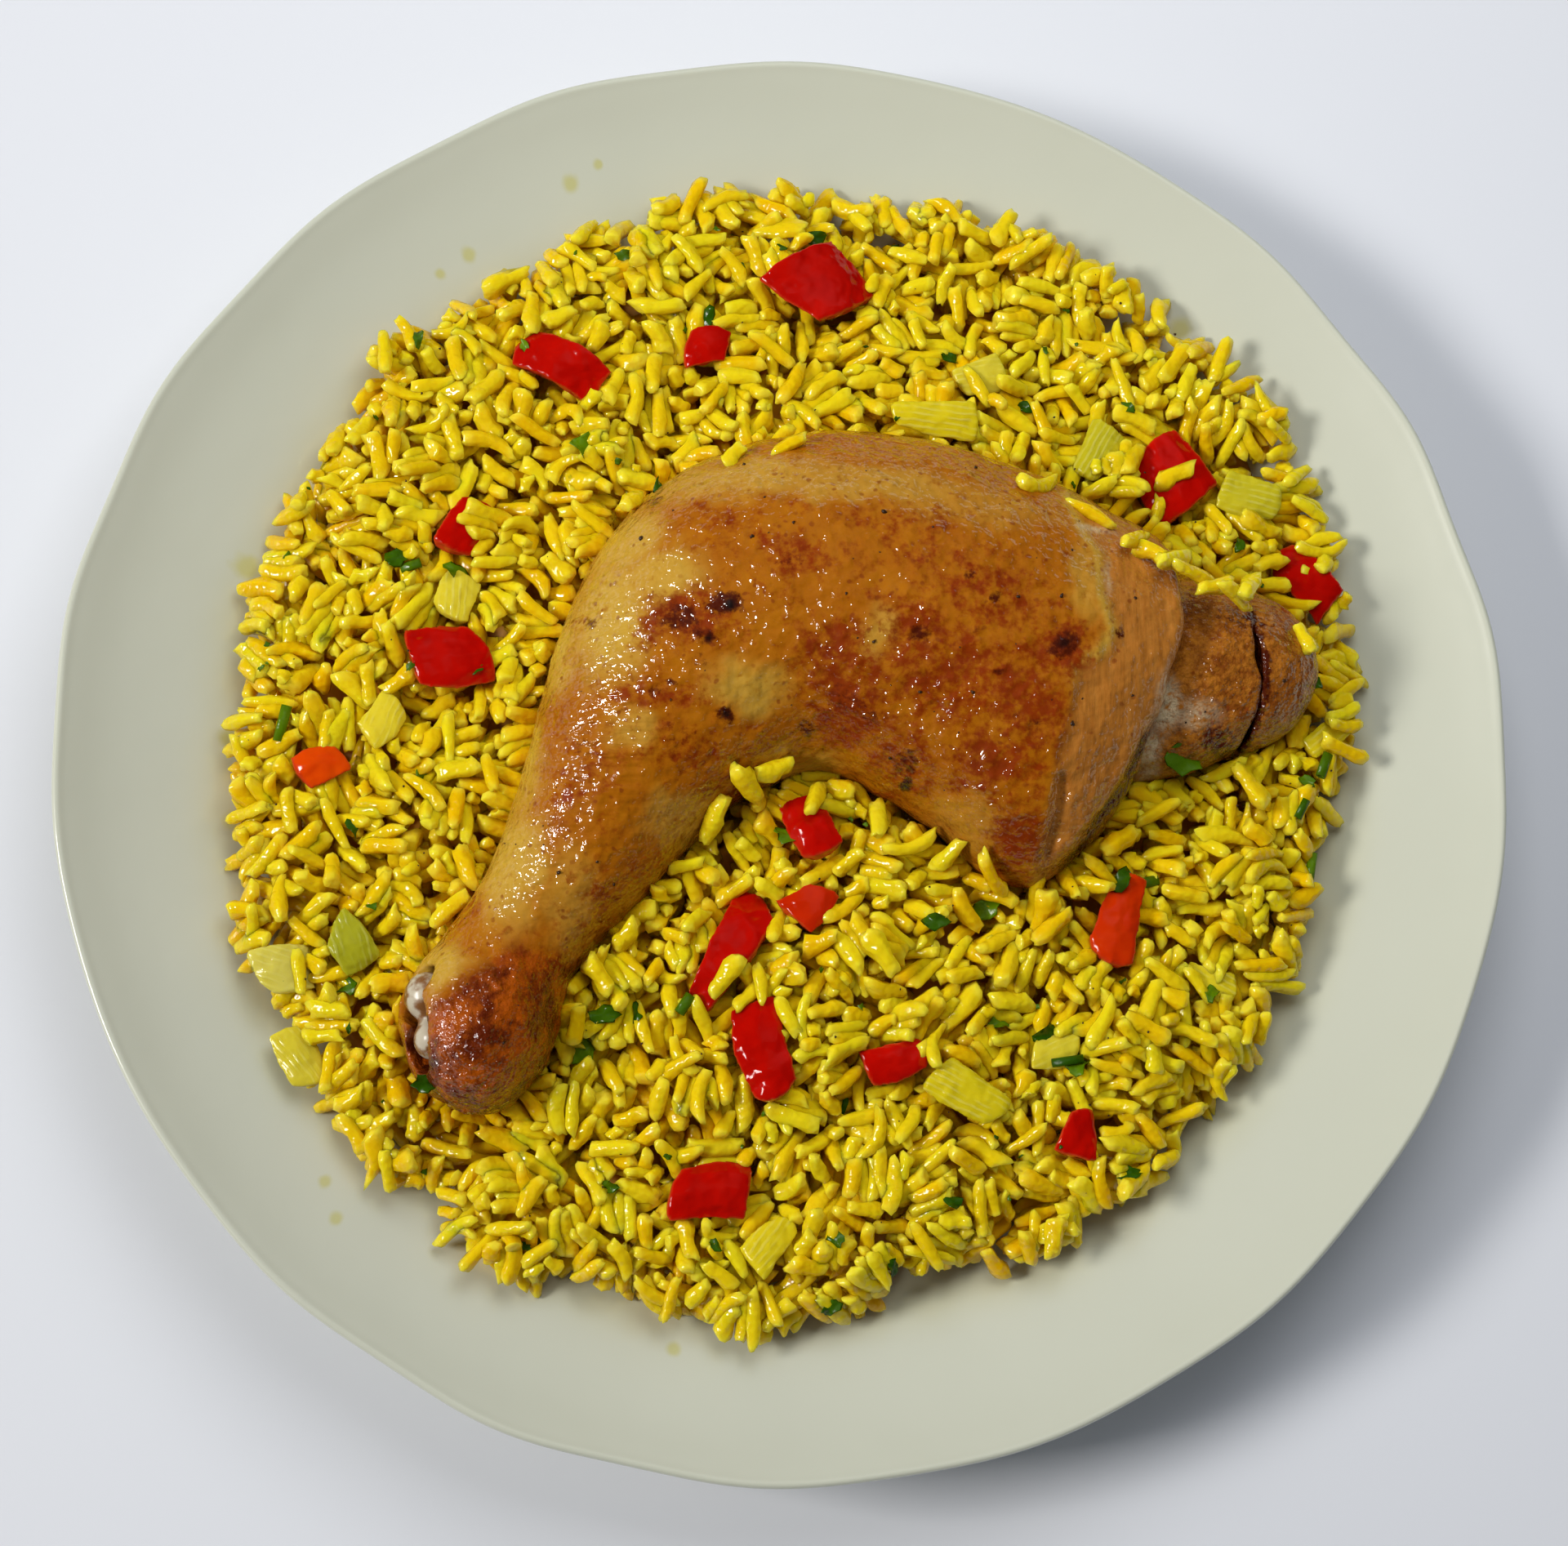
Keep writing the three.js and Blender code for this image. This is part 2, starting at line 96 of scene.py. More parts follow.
def remeshed(mesh, voxel):
    """The same shape in even little squares of about one voxel."""
    holder = bpy.data.objects.new("remesh_holder", mesh)
    bpy.context.scene.collection.objects.link(holder)
    remesh = holder.modifiers.new("Remesh", "REMESH")
    remesh.mode = "VOXEL"
    remesh.voxel_size = voxel
    graph = bpy.context.evaluated_depsgraph_get()
    made = bpy.data.meshes.new_from_object(holder.evaluated_get(graph))
    bpy.data.objects.remove(holder)
    return made


# %% Tools for points
def points_of(mesh):
    co = np.empty(len(mesh.vertices) * 3, np.float32)
    mesh.vertices.foreach_get("co", co)
    return co.reshape(-1, 3).astype(float)


def normals_of(mesh):
    no = np.empty(len(mesh.vertices) * 3, np.float32)
    mesh.vertex_normals.foreach_get("vector", no)
    return no.reshape(-1, 3).astype(float)


def set_points(mesh, points):
    mesh.vertices.foreach_set("co", points.astype(np.float32).ravel())
    mesh.update()


def add_values(mesh, name, values):
    """Stores one number for each point, for a material to read."""
    stored = mesh.attributes.new(name, "FLOAT", "POINT")
    stored.data.foreach_set("value", np.asarray(values, np.float32))


def smoothstep(x, low, high):
    t = np.clip((np.asarray(x, float) - low) / (high - low), 0, 1)
    return t * t * (3 - 2 * t)


def bumps(points, size, seed=0.0, octaves=2):
    """Soft random relief of about -1 to 1, with lumps of the given size."""
    shift = Vector((seed * 7.3, seed * 3.1, seed * 5.7))
    return np.array(
        [noise.fractal(Vector(p) / size + shift, 1.0, 2.0, octaves) for p in points.tolist()]
    )


# %% [markdown]
# ## Tools for finishes
# A finish is a small graph of shader nodes. These helpers make a node, set its inputs and join it to
# others in one line, so that each material below reads like a recipe.


# %% Tools for materials
def new_finish(name):
    """An empty material and its node tree."""
    material = bpy.data.materials.new(name)
    material.use_nodes = True
    material.node_tree.nodes.clear()
    return material, material.node_tree


def add_node(tree, kind, settings=None, **inputs):
    """Makes a shader node. An input is set to a number or colour, or joined to another node's output."""
    made = tree.nodes.new(kind)
    for key, value in (settings or {}).items():
        setattr(made, key, value)
    for key, value in inputs.items():
        put(tree, made.inputs[key.replace("_", " ")], value)
    return made


def put(tree, socket, value):
    if isinstance(value, bpy.types.NodeSocket):
        tree.links.new(value, socket)
    else:
        socket.default_value = value


# %% Colours, places and spots
def rgb(red, green, blue):
    """A colour given as screen values from 0 to 255, for a shader that counts in light."""
    def light(value):
        value /= 255
        return value / 12.92 if value <= 0.04045 else ((value + 0.055) / 1.055) ** 2.4

    return (light(red), light(green), light(blue), 1.0)


def place_of(tree):
    return add_node(tree, "ShaderNodeTexCoord").outputs["Object"]


def value_of(tree, attribute):
    return add_node(tree, "ShaderNodeAttribute", {"attribute_name": attribute}).outputs["Fac"]


def noise_at(tree, place, size, detail=2.0, roughness=0.5):
    """Random soft spots of about the given size in metres."""
    made = add_node(
        tree, "ShaderNodeTexNoise", Vector=place, Scale=1 / size, Detail=detail, Roughness=roughness
    )
    return made.outputs["Fac"]


# %% Sums and mixes
def span(tree, value, low, high):
    """Maps a value softly from low..high to 0..1, and holds it there beyond."""
    made = add_node(tree, "ShaderNodeMapRange", {"interpolation_type": "SMOOTHSTEP"})
    for socket, number in zip(made.inputs, (value, low, high)):
        put(tree, socket, number)
    return made.outputs["Result"]


def calc(tree, operation, *values):
    made = add_node(tree, "ShaderNodeMath", {"operation": operation})
    for socket, value in zip(made.inputs, values):
        put(tree, socket, value)
    return made.outputs["Value"]


def vector_calc(tree, operation, *values):
    made = add_node(tree, "ShaderNodeVectorMath", {"operation": operation})
    for socket, value in zip(made.inputs, values):
        put(tree, socket, value)
    return made.outputs["Value" if operation == "LENGTH" else "Vector"]


def times(tree, a, b):
    return calc(tree, "MULTIPLY", a, b)


def plus(tree, a, b):
    return calc(tree, "ADD", a, b)


def blend(tree, factor, a, b):
    """Mixes two colours."""
    made = add_node(tree, "ShaderNodeMix", {"data_type": "RGBA"})
    put(tree, made.inputs[0], factor)
    put(tree, made.inputs[6], a)
    put(tree, made.inputs[7], b)
    return made.outputs[2]


# %% Relief, and the shader itself
def relief(tree, height, depth, normal=None):
    """A bump of the given depth in metres."""
    made = add_node(tree, "ShaderNodeBump", Strength=1.0, Distance=depth, Height=height)
    if normal is not None:
        tree.links.new(normal, made.inputs["Normal"])
    return made.outputs["Normal"]


def surface(tree, **inputs):
    """The shader that ends every finish."""
    shader = add_node(tree, "ShaderNodeBsdfPrincipled", **inputs)
    output = add_node(tree, "ShaderNodeOutputMaterial")
    tree.links.new(shader.outputs["BSDF"], output.inputs["Surface"])
    return shader


# %% [markdown]
# ### Moist food
# Cooked grains, skin and vegetables are all damp. A damp surface is glossy, but never evenly: it has a
# fine skin of water and oil that breaks up each highlight. One node group makes that for all of them,
# with the size and depth of the ripples as its inputs.


# %% The shared group for moist surfaces
def moist_group():
    group = bpy.data.node_groups.new("moist_surface", "ShaderNodeTree")
    for name, start in (("Ripple Size", 1.0), ("Ripple Depth", 0.0001), ("Wet", 0.2), ("Dry", 0.5)):
        socket = group.interface.new_socket(name=name, in_out="INPUT", socket_type="NodeSocketFloat")
        socket.default_value = start
    group.interface.new_socket(name="Roughness", in_out="OUTPUT", socket_type="NodeSocketFloat")
    group.interface.new_socket(name="Normal", in_out="OUTPUT", socket_type="NodeSocketVector")
    given = add_node(group, "NodeGroupInput").outputs
    result = add_node(group, "NodeGroupOutput")
    place = place_of(group)
    density = calc(group, "DIVIDE", 1.0, given["Ripple Size"])
    ripples = add_node(
        group, "ShaderNodeTexNoise", Vector=place, Scale=density, Detail=0.5, Roughness=0.45
    ).outputs["Fac"]
    patches = add_node(
        group, "ShaderNodeTexNoise", Vector=place, Scale=times(group, density, 0.23), Detail=1.0
    ).outputs["Fac"]
    bump = add_node(group, "ShaderNodeBump", Strength=1.0, Distance=given["Ripple Depth"], Height=ripples)
    share = span(group, patches, 0.35, 0.65)
    extra = times(group, share, calc(group, "SUBTRACT", given["Dry"], given["Wet"]))
    group.links.new(plus(group, given["Wet"], extra), result.inputs["Roughness"])
    group.links.new(bump.outputs["Normal"], result.inputs["Normal"])
    return group


moist = moist_group()


def moist_finish(tree, size, depth, wet, dry):
    """Roughness and normal of a damp surface."""
    made = add_node(
        tree, "ShaderNodeGroup", {"node_tree": moist},
        Ripple_Size=size, Ripple_Depth=depth, Wet=wet, Dry=dry,
    )
    return made.outputs["Roughness"], made.outputs["Normal"]


print("shared groups:", [group.name for group in bpy.data.node_groups])

# %% [markdown]
# ## Camera, light and table
# The plate is seen from above, from a little in front of it. The light is one large window on the
# left, low enough that the left side of the well lies in shade and every grain throws a soft shadow.
# Two weak ones above and behind, and a dim blue room, lift the shadows. The gloss doesn't show them,
# so that dark places between the grains and on the meat stay deep.

# %% Camera
AIM = Vector((-1.2, -6.6, 28)) * MM
DISTANCE = 0.6
ELEVATION = math.radians(77.2)
AZIMUTH = math.radians(-107)


def looking(from_point, at_point, up=Vector((0, 1, 0))):
    """A matrix that stands at one point and looks at another, with the given way up in view."""
    back = (from_point - at_point).normalized()
    right = up.cross(back).normalized()
    turn = Matrix((right, back.cross(right), back)).transposed()
    return Matrix.Translation(from_point) @ turn.to_4x4()


camera = bpy.data.objects.new("camera", bpy.data.cameras.new("camera"))
camera.data.lens = 72.2
camera.data.sensor_width = 36
camera.data.clip_start = 0.01
level = Vector((math.cos(AZIMUTH), math.sin(AZIMUTH), 0))
towards = math.cos(ELEVATION) * level + math.sin(ELEVATION) * Vector((0, 0, 1))
camera.matrix_world = looking(AIM + DISTANCE * towards, AIM)
bpy.context.scene.collection.objects.link(camera)
bpy.context.scene.camera = camera
print("camera at", [round(v, 3) for v in camera.location])


# %% Light
def add_window(name, place, width, height, power, colour, mirrored=True):
    light = bpy.data.lights.new(name, "AREA")
    light.shape = "RECTANGLE"
    light.size = width
    light.size_y = height
    light.energy = power
    light.color = colour
    lamp = bpy.data.objects.new(name, light)
    lamp.matrix_world = looking(Vector(place), Vector((0, 0, 0.02)), Vector((0, 0, 1)))
    lamp.visible_glossy = mirrored
    bpy.context.scene.collection.objects.link(lamp)


add_window("window", (-1.375, -0.1, 1.157), 0.52, 0.42, 22.5, (1.0, 0.985, 0.96))
add_window("skylight", (0.06, 0.2, 0.48), 0.35, 0.35, 1.15, (0.96, 0.98, 1.0), mirrored=False)
add_window("far_window", (0.12, 0.62, 0.6), 0.9, 0.5, 0.9, (0.93, 0.96, 1.0), mirrored=False)
world = bpy.data.worlds.new("room")
world.use_nodes = True
world.node_tree.nodes["Background"].inputs["Color"].default_value = (0.80, 0.87, 1.0, 1)
world.node_tree.nodes["Background"].inputs["Strength"].default_value = 0.17
world.cycles_visibility.glossy = False
bpy.context.scene.world = world
bpy.context.scene.view_settings.view_transform = "Standard"
print("lights:", [thing.name for thing in bpy.data.lights])


# %% Table
def add_table():
    bm = bmesh.new()
    bmesh.ops.create_grid(bm, x_segments=1, y_segments=1, size=4.0)
    table = bpy.data.objects.new("table", mesh_of(bm, "table"))
    material, tree = new_finish("pale_table")
    surface(tree, Base_Color=(0.78, 0.79, 0.82, 1), Roughness=0.8)
    table.data.materials.append(material)
    bpy.context.scene.collection.objects.link(table)


add_table()

# %% [markdown]
# ## Plate
# A plate is thrown or pressed on a wheel, so it is one outline turned about its middle. The outline is
# drawn as a chain of points and spun; a subdivision surface rounds it as a glaze does. Its rim was
# shaped by hand and waves a little, which is a small push in and out that grows towards the rim.

# %% Outline of the plate
rim_radius = (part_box("plate")[1].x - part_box("plate")[0].x) / 2
rim_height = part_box("plate")[1].z
SPIN_STEPS = 90
LOBES = 18
FIRST_LOBE = math.radians(9)
LOBE_DEPTH = 0.55 * MM
RIM_START = 103 * MM
upper_side = [
    (0, 6), (30, 6), (60, 6), (78, 6.1), (84, 6.6), (89, 7.6), (97, 10.4), (103, 13.2), (115, 17.9),
    (129, 23.2),
]
under_side = [
    (129, 19.4), (116, 13.9), (104, 8.5), (92, 3.9), (89, 1.2), (88, 0.1), (87, 0), (83, 0), (82, 0.3),
    (80.5, 2.2), (78, 2.6), (40, 2.6), (0, 2.6),
]


def plate_outline():
    """Radius and height, from the middle of the well over the rim to the middle of the underside."""
    lip = [
        (-4.0, -1.55), (-2.1, -0.62), (-1.2, 0.0), (-0.5, -0.02), (0.0, -0.55), (0.0, -1.4),
        (-0.7, -2.4), (-3.5, -3.9),
    ]
    crest = [(rim_radius + out * MM, rim_height + up * MM) for out, up in lip]
    inside = [(radius * MM, height * MM) for radius, height in upper_side]
    outside = [(radius * MM, height * MM) for radius, height in under_side]
    return inside + crest + outside


print("points in the plate's outline:", len(plate_outline()))


def wave(points):
    """Pushes points in and out where the rim waves."""
    radius = np.hypot(points[:, 0], points[:, 1])
    angle = np.arctan2(points[:, 1], points[:, 0]) - FIRST_LOBE
    grown = smoothstep(radius, RIM_START, rim_radius)
    uneven = 0.75 + 0.35 * np.sin(3 * angle + 1.0) + 0.25 * np.sin(5 * angle)
    push = LOBE_DEPTH * np.cos(LOBES * angle + 0.5 * np.sin(2 * angle)) * uneven * grown
    share = 1 + push / np.maximum(radius, MM)
    return points * np.stack([share, share, np.ones_like(share)], axis=1) + np.outer(push * 0.5, (0, 0, 1))


# %% Spin the plate
def plate_mesh():
    bm = bmesh.new()
    chain = [bm.verts.new((radius, 0, height)) for radius, height in plate_outline()]
    edges = [bm.edges.new(pair) for pair in zip(chain, chain[1:])]
    bmesh.ops.spin(
        bm, geom=chain + edges, cent=(0, 0, 0), axis=(0, 0, 1), dvec=(0, 0, 0),
        angle=math.tau, steps=SPIN_STEPS, use_merge=True, use_duplicate=False,
    )
    bmesh.ops.remove_doubles(bm, verts=bm.verts, dist=0.001 * MM)
    bmesh.ops.recalc_face_normals(bm, faces=bm.faces)
    mesh = mesh_of(bm, "plate")
    set_points(mesh, wave(points_of(mesh)))
    return mesh


# %% [markdown]
# The glaze is a warm grey-white glass over the clay. A clear coat gives it its own sharp shine over a
# softer body. Oil from the rice has tinted the well yellow close to the food, with a few splashes.

# %% Glaze
SPLASHES = [
    (-105.4, 35.3, 3.6), (-107.5, 1.3, 3.0), (-106.5, -14.7, 2.6), (-43.5, 115, 2.2), (-63.6, 100, 2.0),
    (-69.2, 96, 1.6), (-38, 119, 1.4), (-21.2, -114.5, 2.0), (79.6, 88, 3.0), (-86.4, -84, 1.6),
    (-84, -91, 1.8),
]


def splash_mask(tree, place):
    """1 in the yellow splashes on the rim, 0 elsewhere."""
    wobble = noise_at(tree, place, 0.004, 3.0)
    total = 0.0
    for x, y, radius in SPLASHES:
        offset = vector_calc(tree, "MULTIPLY_ADD", place, (1 / MM, 1 / MM, 0), (-x, -y, 0))
        away = times(tree, vector_calc(tree, "LENGTH", offset), plus(tree, wobble, 0.5))
        total = plus(tree, total, span(tree, away, radius, 0.3 * radius))
    return calc(tree, "MINIMUM", total, 1.0)


def glaze_finish():
    material, tree = new_finish("cream_glaze")
    place = place_of(tree)
    radius = vector_calc(tree, "LENGTH", vector_calc(tree, "MULTIPLY", place, (1, 1, 0)))
    cloud = noise_at(tree, place, 0.03, 3.0)
    body = blend(tree, cloud, rgb(200, 201, 181), rgb(205, 206, 187))
    edge = plus(tree, radius, times(tree, cloud, 0.008))
    tint = times(tree, span(tree, edge, 0.122, 0.112), 0.2)
    oiled = blend(tree, tint, body, rgb(186, 176, 84))
    splashed = blend(tree, times(tree, splash_mask(tree, place), 0.55), oiled, rgb(190, 182, 60))
    ripple = noise_at(tree, place, 0.012, 2.0)
    surface(
        tree, Base_Color=splashed, Roughness=0.32, Coat_Weight=0.6, Coat_Roughness=0.08,
        Normal=relief(tree, ripple, 0.00012),
    )
    return material


# %% The plate
plate = add_piece("plate_glazed", plate_mesh(), glaze_finish(), ["plate"])
rounding = plate.modifiers.new("Rounded by the glaze", "SUBSURF")
rounding.levels = rounding.render_levels = 2

# %% [markdown]
# ## Chicken leg
# The leg is thigh and shank in one, still wearing its skin. The solid gives the big form. Its
# triangles are turned into an even grid of small squares, which is evened out until no facet is left.
# Then the grid is pushed in and out along its normals: lumps of meat, the valley at the knee, the step
# at the torn edge of the skin, rough roasted ends and fine wrinkles.


# %% Lines and patches on the leg, seen from above in mm
FLAP_EDGE = [
    (73, 34), (74, 19), (70.6, 9), (69.4, 2.4), (65.5, -2.6), (62.7, -9.6), (60, -13.5), (52.8, -23.3),
    (45, -32),
]
SKIN_EDGE = [
    (53, 44), (55, 37), (57.6, 32), (57.2, 23), (59.6, 16), (57, 11), (52, 7), (50.5, -1), (48.6, -8),
    (48, -15), (46.6, -22), (45, -33),
]
CREASE = [(49.2, -12), (49.4, -17), (48.3, -21.5), (47.4, -25)]
CLEFT = [(87.0, 24), (89.5, 15), (89.6, 8), (88, 1), (84.5, -5)]
KNEE_VALLEY = [(8, -12), (2, -2), (-8, 8), (-16, 16)]
ANKLE = (-69, -58)
ROAST_END = [(-75, -60), (-66, -56), (-60, -50), (-52, -43.5), (-42, -45), (-33, -52)]
print("torn edge of the skin in mm:", round(np.hypot(*np.diff(SKIN_EDGE, axis=0).T).sum()))


def line_distance(points, line):
    """Distance in mm from a line seen from above, above zero on the left of someone who walks it."""
    flat = points[:, :2] / MM
    nearest = np.full(len(flat), np.inf)
    side = np.ones(len(flat))
    for start, end in zip(line, line[1:]):
        step = np.subtract(end, start)
        offset = flat - start
        share = np.clip(offset @ step / (step @ step), 0, 1)
        away = np.hypot(*(offset - np.outer(share, step)).T)
        closer = away < nearest
        side = np.where(closer, np.sign(step[0] * offset[:, 1] - step[1] * offset[:, 0]), side)
        nearest = np.where(closer, away, nearest)
    return nearest * side


def patch_mask(points, patches, wobble):
    """Share of each point in soft oval patches: x, y, half width, half height, strength of each."""
    shift = Vector((3, 6, 0))
    offsets = np.array([noise.noise_vector(Vector(p) / (4.5 * MM) + shift)[:2] for p in points.tolist()])
    flat = points[:, :2] / MM + wobble * offsets
    mask = np.zeros(len(flat))
    for x, y, half_width, half_height, strength in patches:
        away = np.hypot((flat[:, 0] - x) / half_width, (flat[:, 1] - y) / half_height)
        mask = np.maximum(mask, strength * smoothstep(-away, -1.35, -0.35))
    return mask


# %% Grid of the leg
def evened(mesh, values, rounds, share=1.0):
    """Values of the points, drawn again and again towards the middle of their neighbours' values."""
    edges = np.empty(len(mesh.edges) * 2, np.int32)
    mesh.edges.foreach_get("vertices", edges)
    a, b = edges.reshape(-1, 2).T
    count = len(mesh.vertices)
    neighbours = np.bincount(np.concatenate([a, b]), minlength=count)
    pull = 0.5 * np.broadcast_to(share, count)
    values = np.array(values, float).reshape(count, -1)
    for _ in range(rounds):
        for column in values.T:
            total = np.bincount(a, column[b], count) + np.bincount(b, column[a], count)
            column += pull * (total / neighbours - column)
    return values


def rounded(mesh, rounds, share=1.0):
    """Smooths a shape, and gives back most of the size that smoothing takes away."""
    points = points_of(mesh)
    soft = evened(mesh, points, rounds, share)
    set_points(mesh, soft + evened(mesh, points - soft, rounds, share))


LEG_GRID = 0.75 * MM
SMOOTHING_ROUNDS = 110
leg = remeshed(mesh_of(merged_copy("chicken_leg"), "chicken"), LEG_GRID)
leg_points = points_of(leg)
sharp = np.maximum(
    smoothstep(-np.abs(line_distance(leg_points, CLEFT)), -5, -2.5),
    0.75 * smoothstep(-np.abs(line_distance(leg_points, FLAP_EDGE)), -5, -2),
)
ankle = np.hypot(*(leg_points[:, :2] / MM - ANKLE).T)
sharp = np.maximum(sharp, 0.8 * smoothstep(-ankle, -12, -7))
rounded(leg, SMOOTHING_ROUNDS, 1 - 0.97 * sharp)
rounded(leg, 6)
print("points on the leg:", len(leg.vertices))

# %% Forms of the leg
leg_points = points_of(leg)
leg_normals = normals_of(leg)
flesh_side = line_distance(leg_points, SKIN_EDGE)
flap_side = line_distance(leg_points, FLAP_EDGE)
faces_up = smoothstep(leg_normals[:, 2], 0.0, 0.4)
back_part = smoothstep(flap_side, -0.8, 1.2)
bare_meat = smoothstep(flesh_side, -2.4, 1.8) * (1 - back_part)
roast_end = smoothstep(-line_distance(leg_points, ROAST_END), -3, 3)
roast_end = roast_end * smoothstep(-leg_points[:, 0] / MM, 30, 36)
along_fibres = leg_points @ np.array(Matrix.Rotation(math.radians(14), 3, "Z")) * (1, 0.16, 1)
across_shank = leg_points @ np.array(Matrix.Rotation(math.radians(-12), 3, "Z")) * (0.3, 1, 0.5)
knee = patch_mask(leg_points, [(-40, 8, 16, 30, 1.0), (-50, -25, 10, 16, 0.6)], 0)

push = 0.50 * bumps(leg_points, 17 * MM, 1)
push += 0.24 * bumps(leg_points, 6.5 * MM, 2)
push += 0.10 * bumps(leg_points, 2.6 * MM, 3) * (1 - 0.5 * bare_meat)
push -= 1.2 * faces_up * np.exp(-(line_distance(leg_points, KNEE_VALLEY) / 6.5) ** 2)
push -= 0.6 * faces_up * bare_meat
push += 0.25 * faces_up * np.exp(-((flesh_side + 1.8) / 1.6) ** 2) * (1 - back_part)
push -= 1.6 * faces_up * back_part * smoothstep(-flap_side, -9, 0)
push += 0.5 * faces_up * np.exp(-((flap_side + 1.6) / 1.4) ** 2)
push -= 1.3 * faces_up * np.exp(-(line_distance(leg_points, CREASE) / 0.9) ** 2)
push += 0.18 * bare_meat * bumps(along_fibres, 2.0 * MM, 4)
push += 0.40 * roast_end * bumps(leg_points, 3.6 * MM, 5, 3)
push += 0.30 * back_part * bumps(leg_points, 4.0 * MM, 6, 3)
push += 0.16 * knee * bumps(across_shank, 1.5 * MM, 7)
CLEFT_CLOSING = 0.75
CLEFT_CLOSING_TOP = 0.45
cleft_side = line_distance(leg_points, CLEFT)
closing = np.exp(-((np.abs(cleft_side) - 1.0) / 1.6) ** 2) * back_part * np.sign(cleft_side)
closing *= CLEFT_CLOSING + CLEFT_CLOSING_TOP * smoothstep(leg_points[:, 1] / MM, 2, 10)
moved = leg_points + leg_normals * push[:, None] * MM
moved[:, 0] -= closing * MM
set_points(leg, moved)
rounded(leg, 1)
print("pushed in and out by mm:", round(push.min(), 2), "to", round(push.max(), 2))

# %% [markdown]
# Roasting colours the leg unevenly. High places are orange-brown, fat under the skin keeps the top band
# and the knee pale, juice has burnt to dark spots, and the knuckle is roasted red-brown. Each of these
# is a list of soft ovals, so a cook could say where to brown it more. The left of the knee faces the
# window, and its pale ovals are partly painted light. The dark of the burnt spots is also painted into
# the cleft, the hollows of the knuckle, the crease at the crook, the gap under the flap and patches of
# the back: painted shade. The film of fat over the skin is a clear coat with wrinkles of its own: it
# carries the small white glints, while the skin stays soft.

# %% Colours of roasting
BROWNED = [
    (-22, 16, 10, 6, 0.8), (-33, 10, 6, 5, 0.25), (-15, 34, 8, 5, 0.4), (-2, 28, 7, 5, 0.55),
    (8, 8, 9, 9, 0.75), (10, 0, 7, 6, 0.85), (22, 13, 10, 9, 0.6), (35, 21, 11, 9, 0.5),
    (30, 5, 13, 9, 0.8), (48, 11, 8, 6, 0.8), (42, 1, 8, 8, 0.85), (36, -8, 10, 7, 0.75),
    (20, -8, 6, 7, 0.65), (22, 36, 13, 4, 0.3), (-27, 3, 9, 4, 0.5), (-20, -7, 9, 4, 0.5),
    (-12, -14, 9, 5, 0.45), (-39, -12, 6, 7, 0.4), (-61, -24, 4, 12, 0.55), (-38, -36, 4, 8, 0.4),
    (41, -22, 6, 9, 0.8), (46, -27, 5, 9, 0.6), (-40, 17, 4, 3, 0.45), (30, 27, 12, 6, 0.35),
    (-20, -24, 6, 8, 0.3), (51, -6, 5, 8, 0.3),
]
BURNT = [
    (-22, 16, 5, 3.5, 0.9), (-14, 19, 4, 2.4, 1.0), (-18, 13, 4, 2.6, 0.75), (-2, 27, 3.6, 2.6, 0.5),
    (22, 13.5, 2.6, 1.9, 0.9), (49, 12, 4.4, 3, 0.9), (8, 2, 6, 4, 0.55), (2, -2, 2, 1.6, 0.8),
    (13, -0.5, 3, 1.6, 0.7), (20, -8.5, 3, 2.8, 0.75), (20.6, -11.6, 1.5, 1.2, 1.1),
    (-14, -1.4, 2.2, 1.7, 0.9), (-23.4, 4.6, 2, 1.3, 0.8), (-27, 3, 1.6, 1.4, 0.7),
    (-11.6, -8.8, 1.8, 1.4, 0.7), (-11, -14.6, 1.6, 1.3, 0.8), (-38.6, 17.2, 2.4, 1.7, 0.7),
    (-27, 42, 2.6, 2.4, 0.7), (42.6, -2.4, 4.6, 1.7, 0.55), (35.6, 21, 1.9, 1.3, 0.9),
    (31.6, 25, 1.4, 1.2, 0.8), (-18, 8, 2.4, 1.8, 0.6), (32, 14, 1.3, 1.8, 0.6), (36, 7, 1.6, 1.3, 0.7),
    (59.8, 15.8, 1.4, 1.6, 0.9), (40, -1.5, 1.5, 1.5, 0.6), (-39.5, -7, 3, 3.4, 0.5),
    (-22, -5, 4, 3, 0.5),
]
SOOT = [
    (-13, 18.6, 1.1, 1.2, 1), (-17, 12.4, 0.9, 0.9, 1), (49, 12.6, 1.4, 1, 0.8),
    (20.5, -11.8, 0.9, 0.8, 1), (-13.6, -1.2, 0.8, 0.8, 1),
]
# Pale fat under the skin. On the left of the knee, which faces the window, these are painted light as well.
PALE_AND_LIT = [
    (-12, 45, 22, 5.5, 0.6), (12, 43, 24, 5, 0.5), (34, 39.5, 20, 4.5, 0.3), (-33, 34, 8, 9, 0.8),
    (-45, 18, 5, 14, 1.0), (-35, 18, 8, 14, 0.9), (-51, -4, 4, 16, 0.9), (-26, 25, 9, 6, 0.75),
    (-10, 4, 8, 5, 0.7), (14, 13.5, 3.5, 5, 0.5), (-21, -19, 8, 5, 0.5), (-30, -4, 5, 4, 0.5),
    (30, -20, 8, 7, 0.3), (54, 26, 3.5, 10, 0.45), (-66, -46, 7, 5, 0.9), (-42, -34, 5, 10, 0.4),
    (-53, -27, 7, 13, 0.9), (1, -9, 8, 4, 0.6),
]
SINEW = [
    (70.5, 5, 3.2, 5, 1.0), (68, -3, 2.4, 5, 0.9), (76, 3, 5, 3, 0.6), (56.5, 37.5, 4, 1.0, 0.8),
    (57.8, 27, 0.8, 5, 0.5),
]
# Dark roast on the back piece, which is partly painted shade near the cleft and the lower edge of the flap.
BACK_BURNT_AND_SHADE = [
    (81, -1, 5.5, 3.6, 1.0), (76, -8, 6, 3, 0.7), (86, 22, 8, 3, 0.7), (97, 20, 4, 4, 0.5),
    (70, -10, 5, 3, 0.6),
]

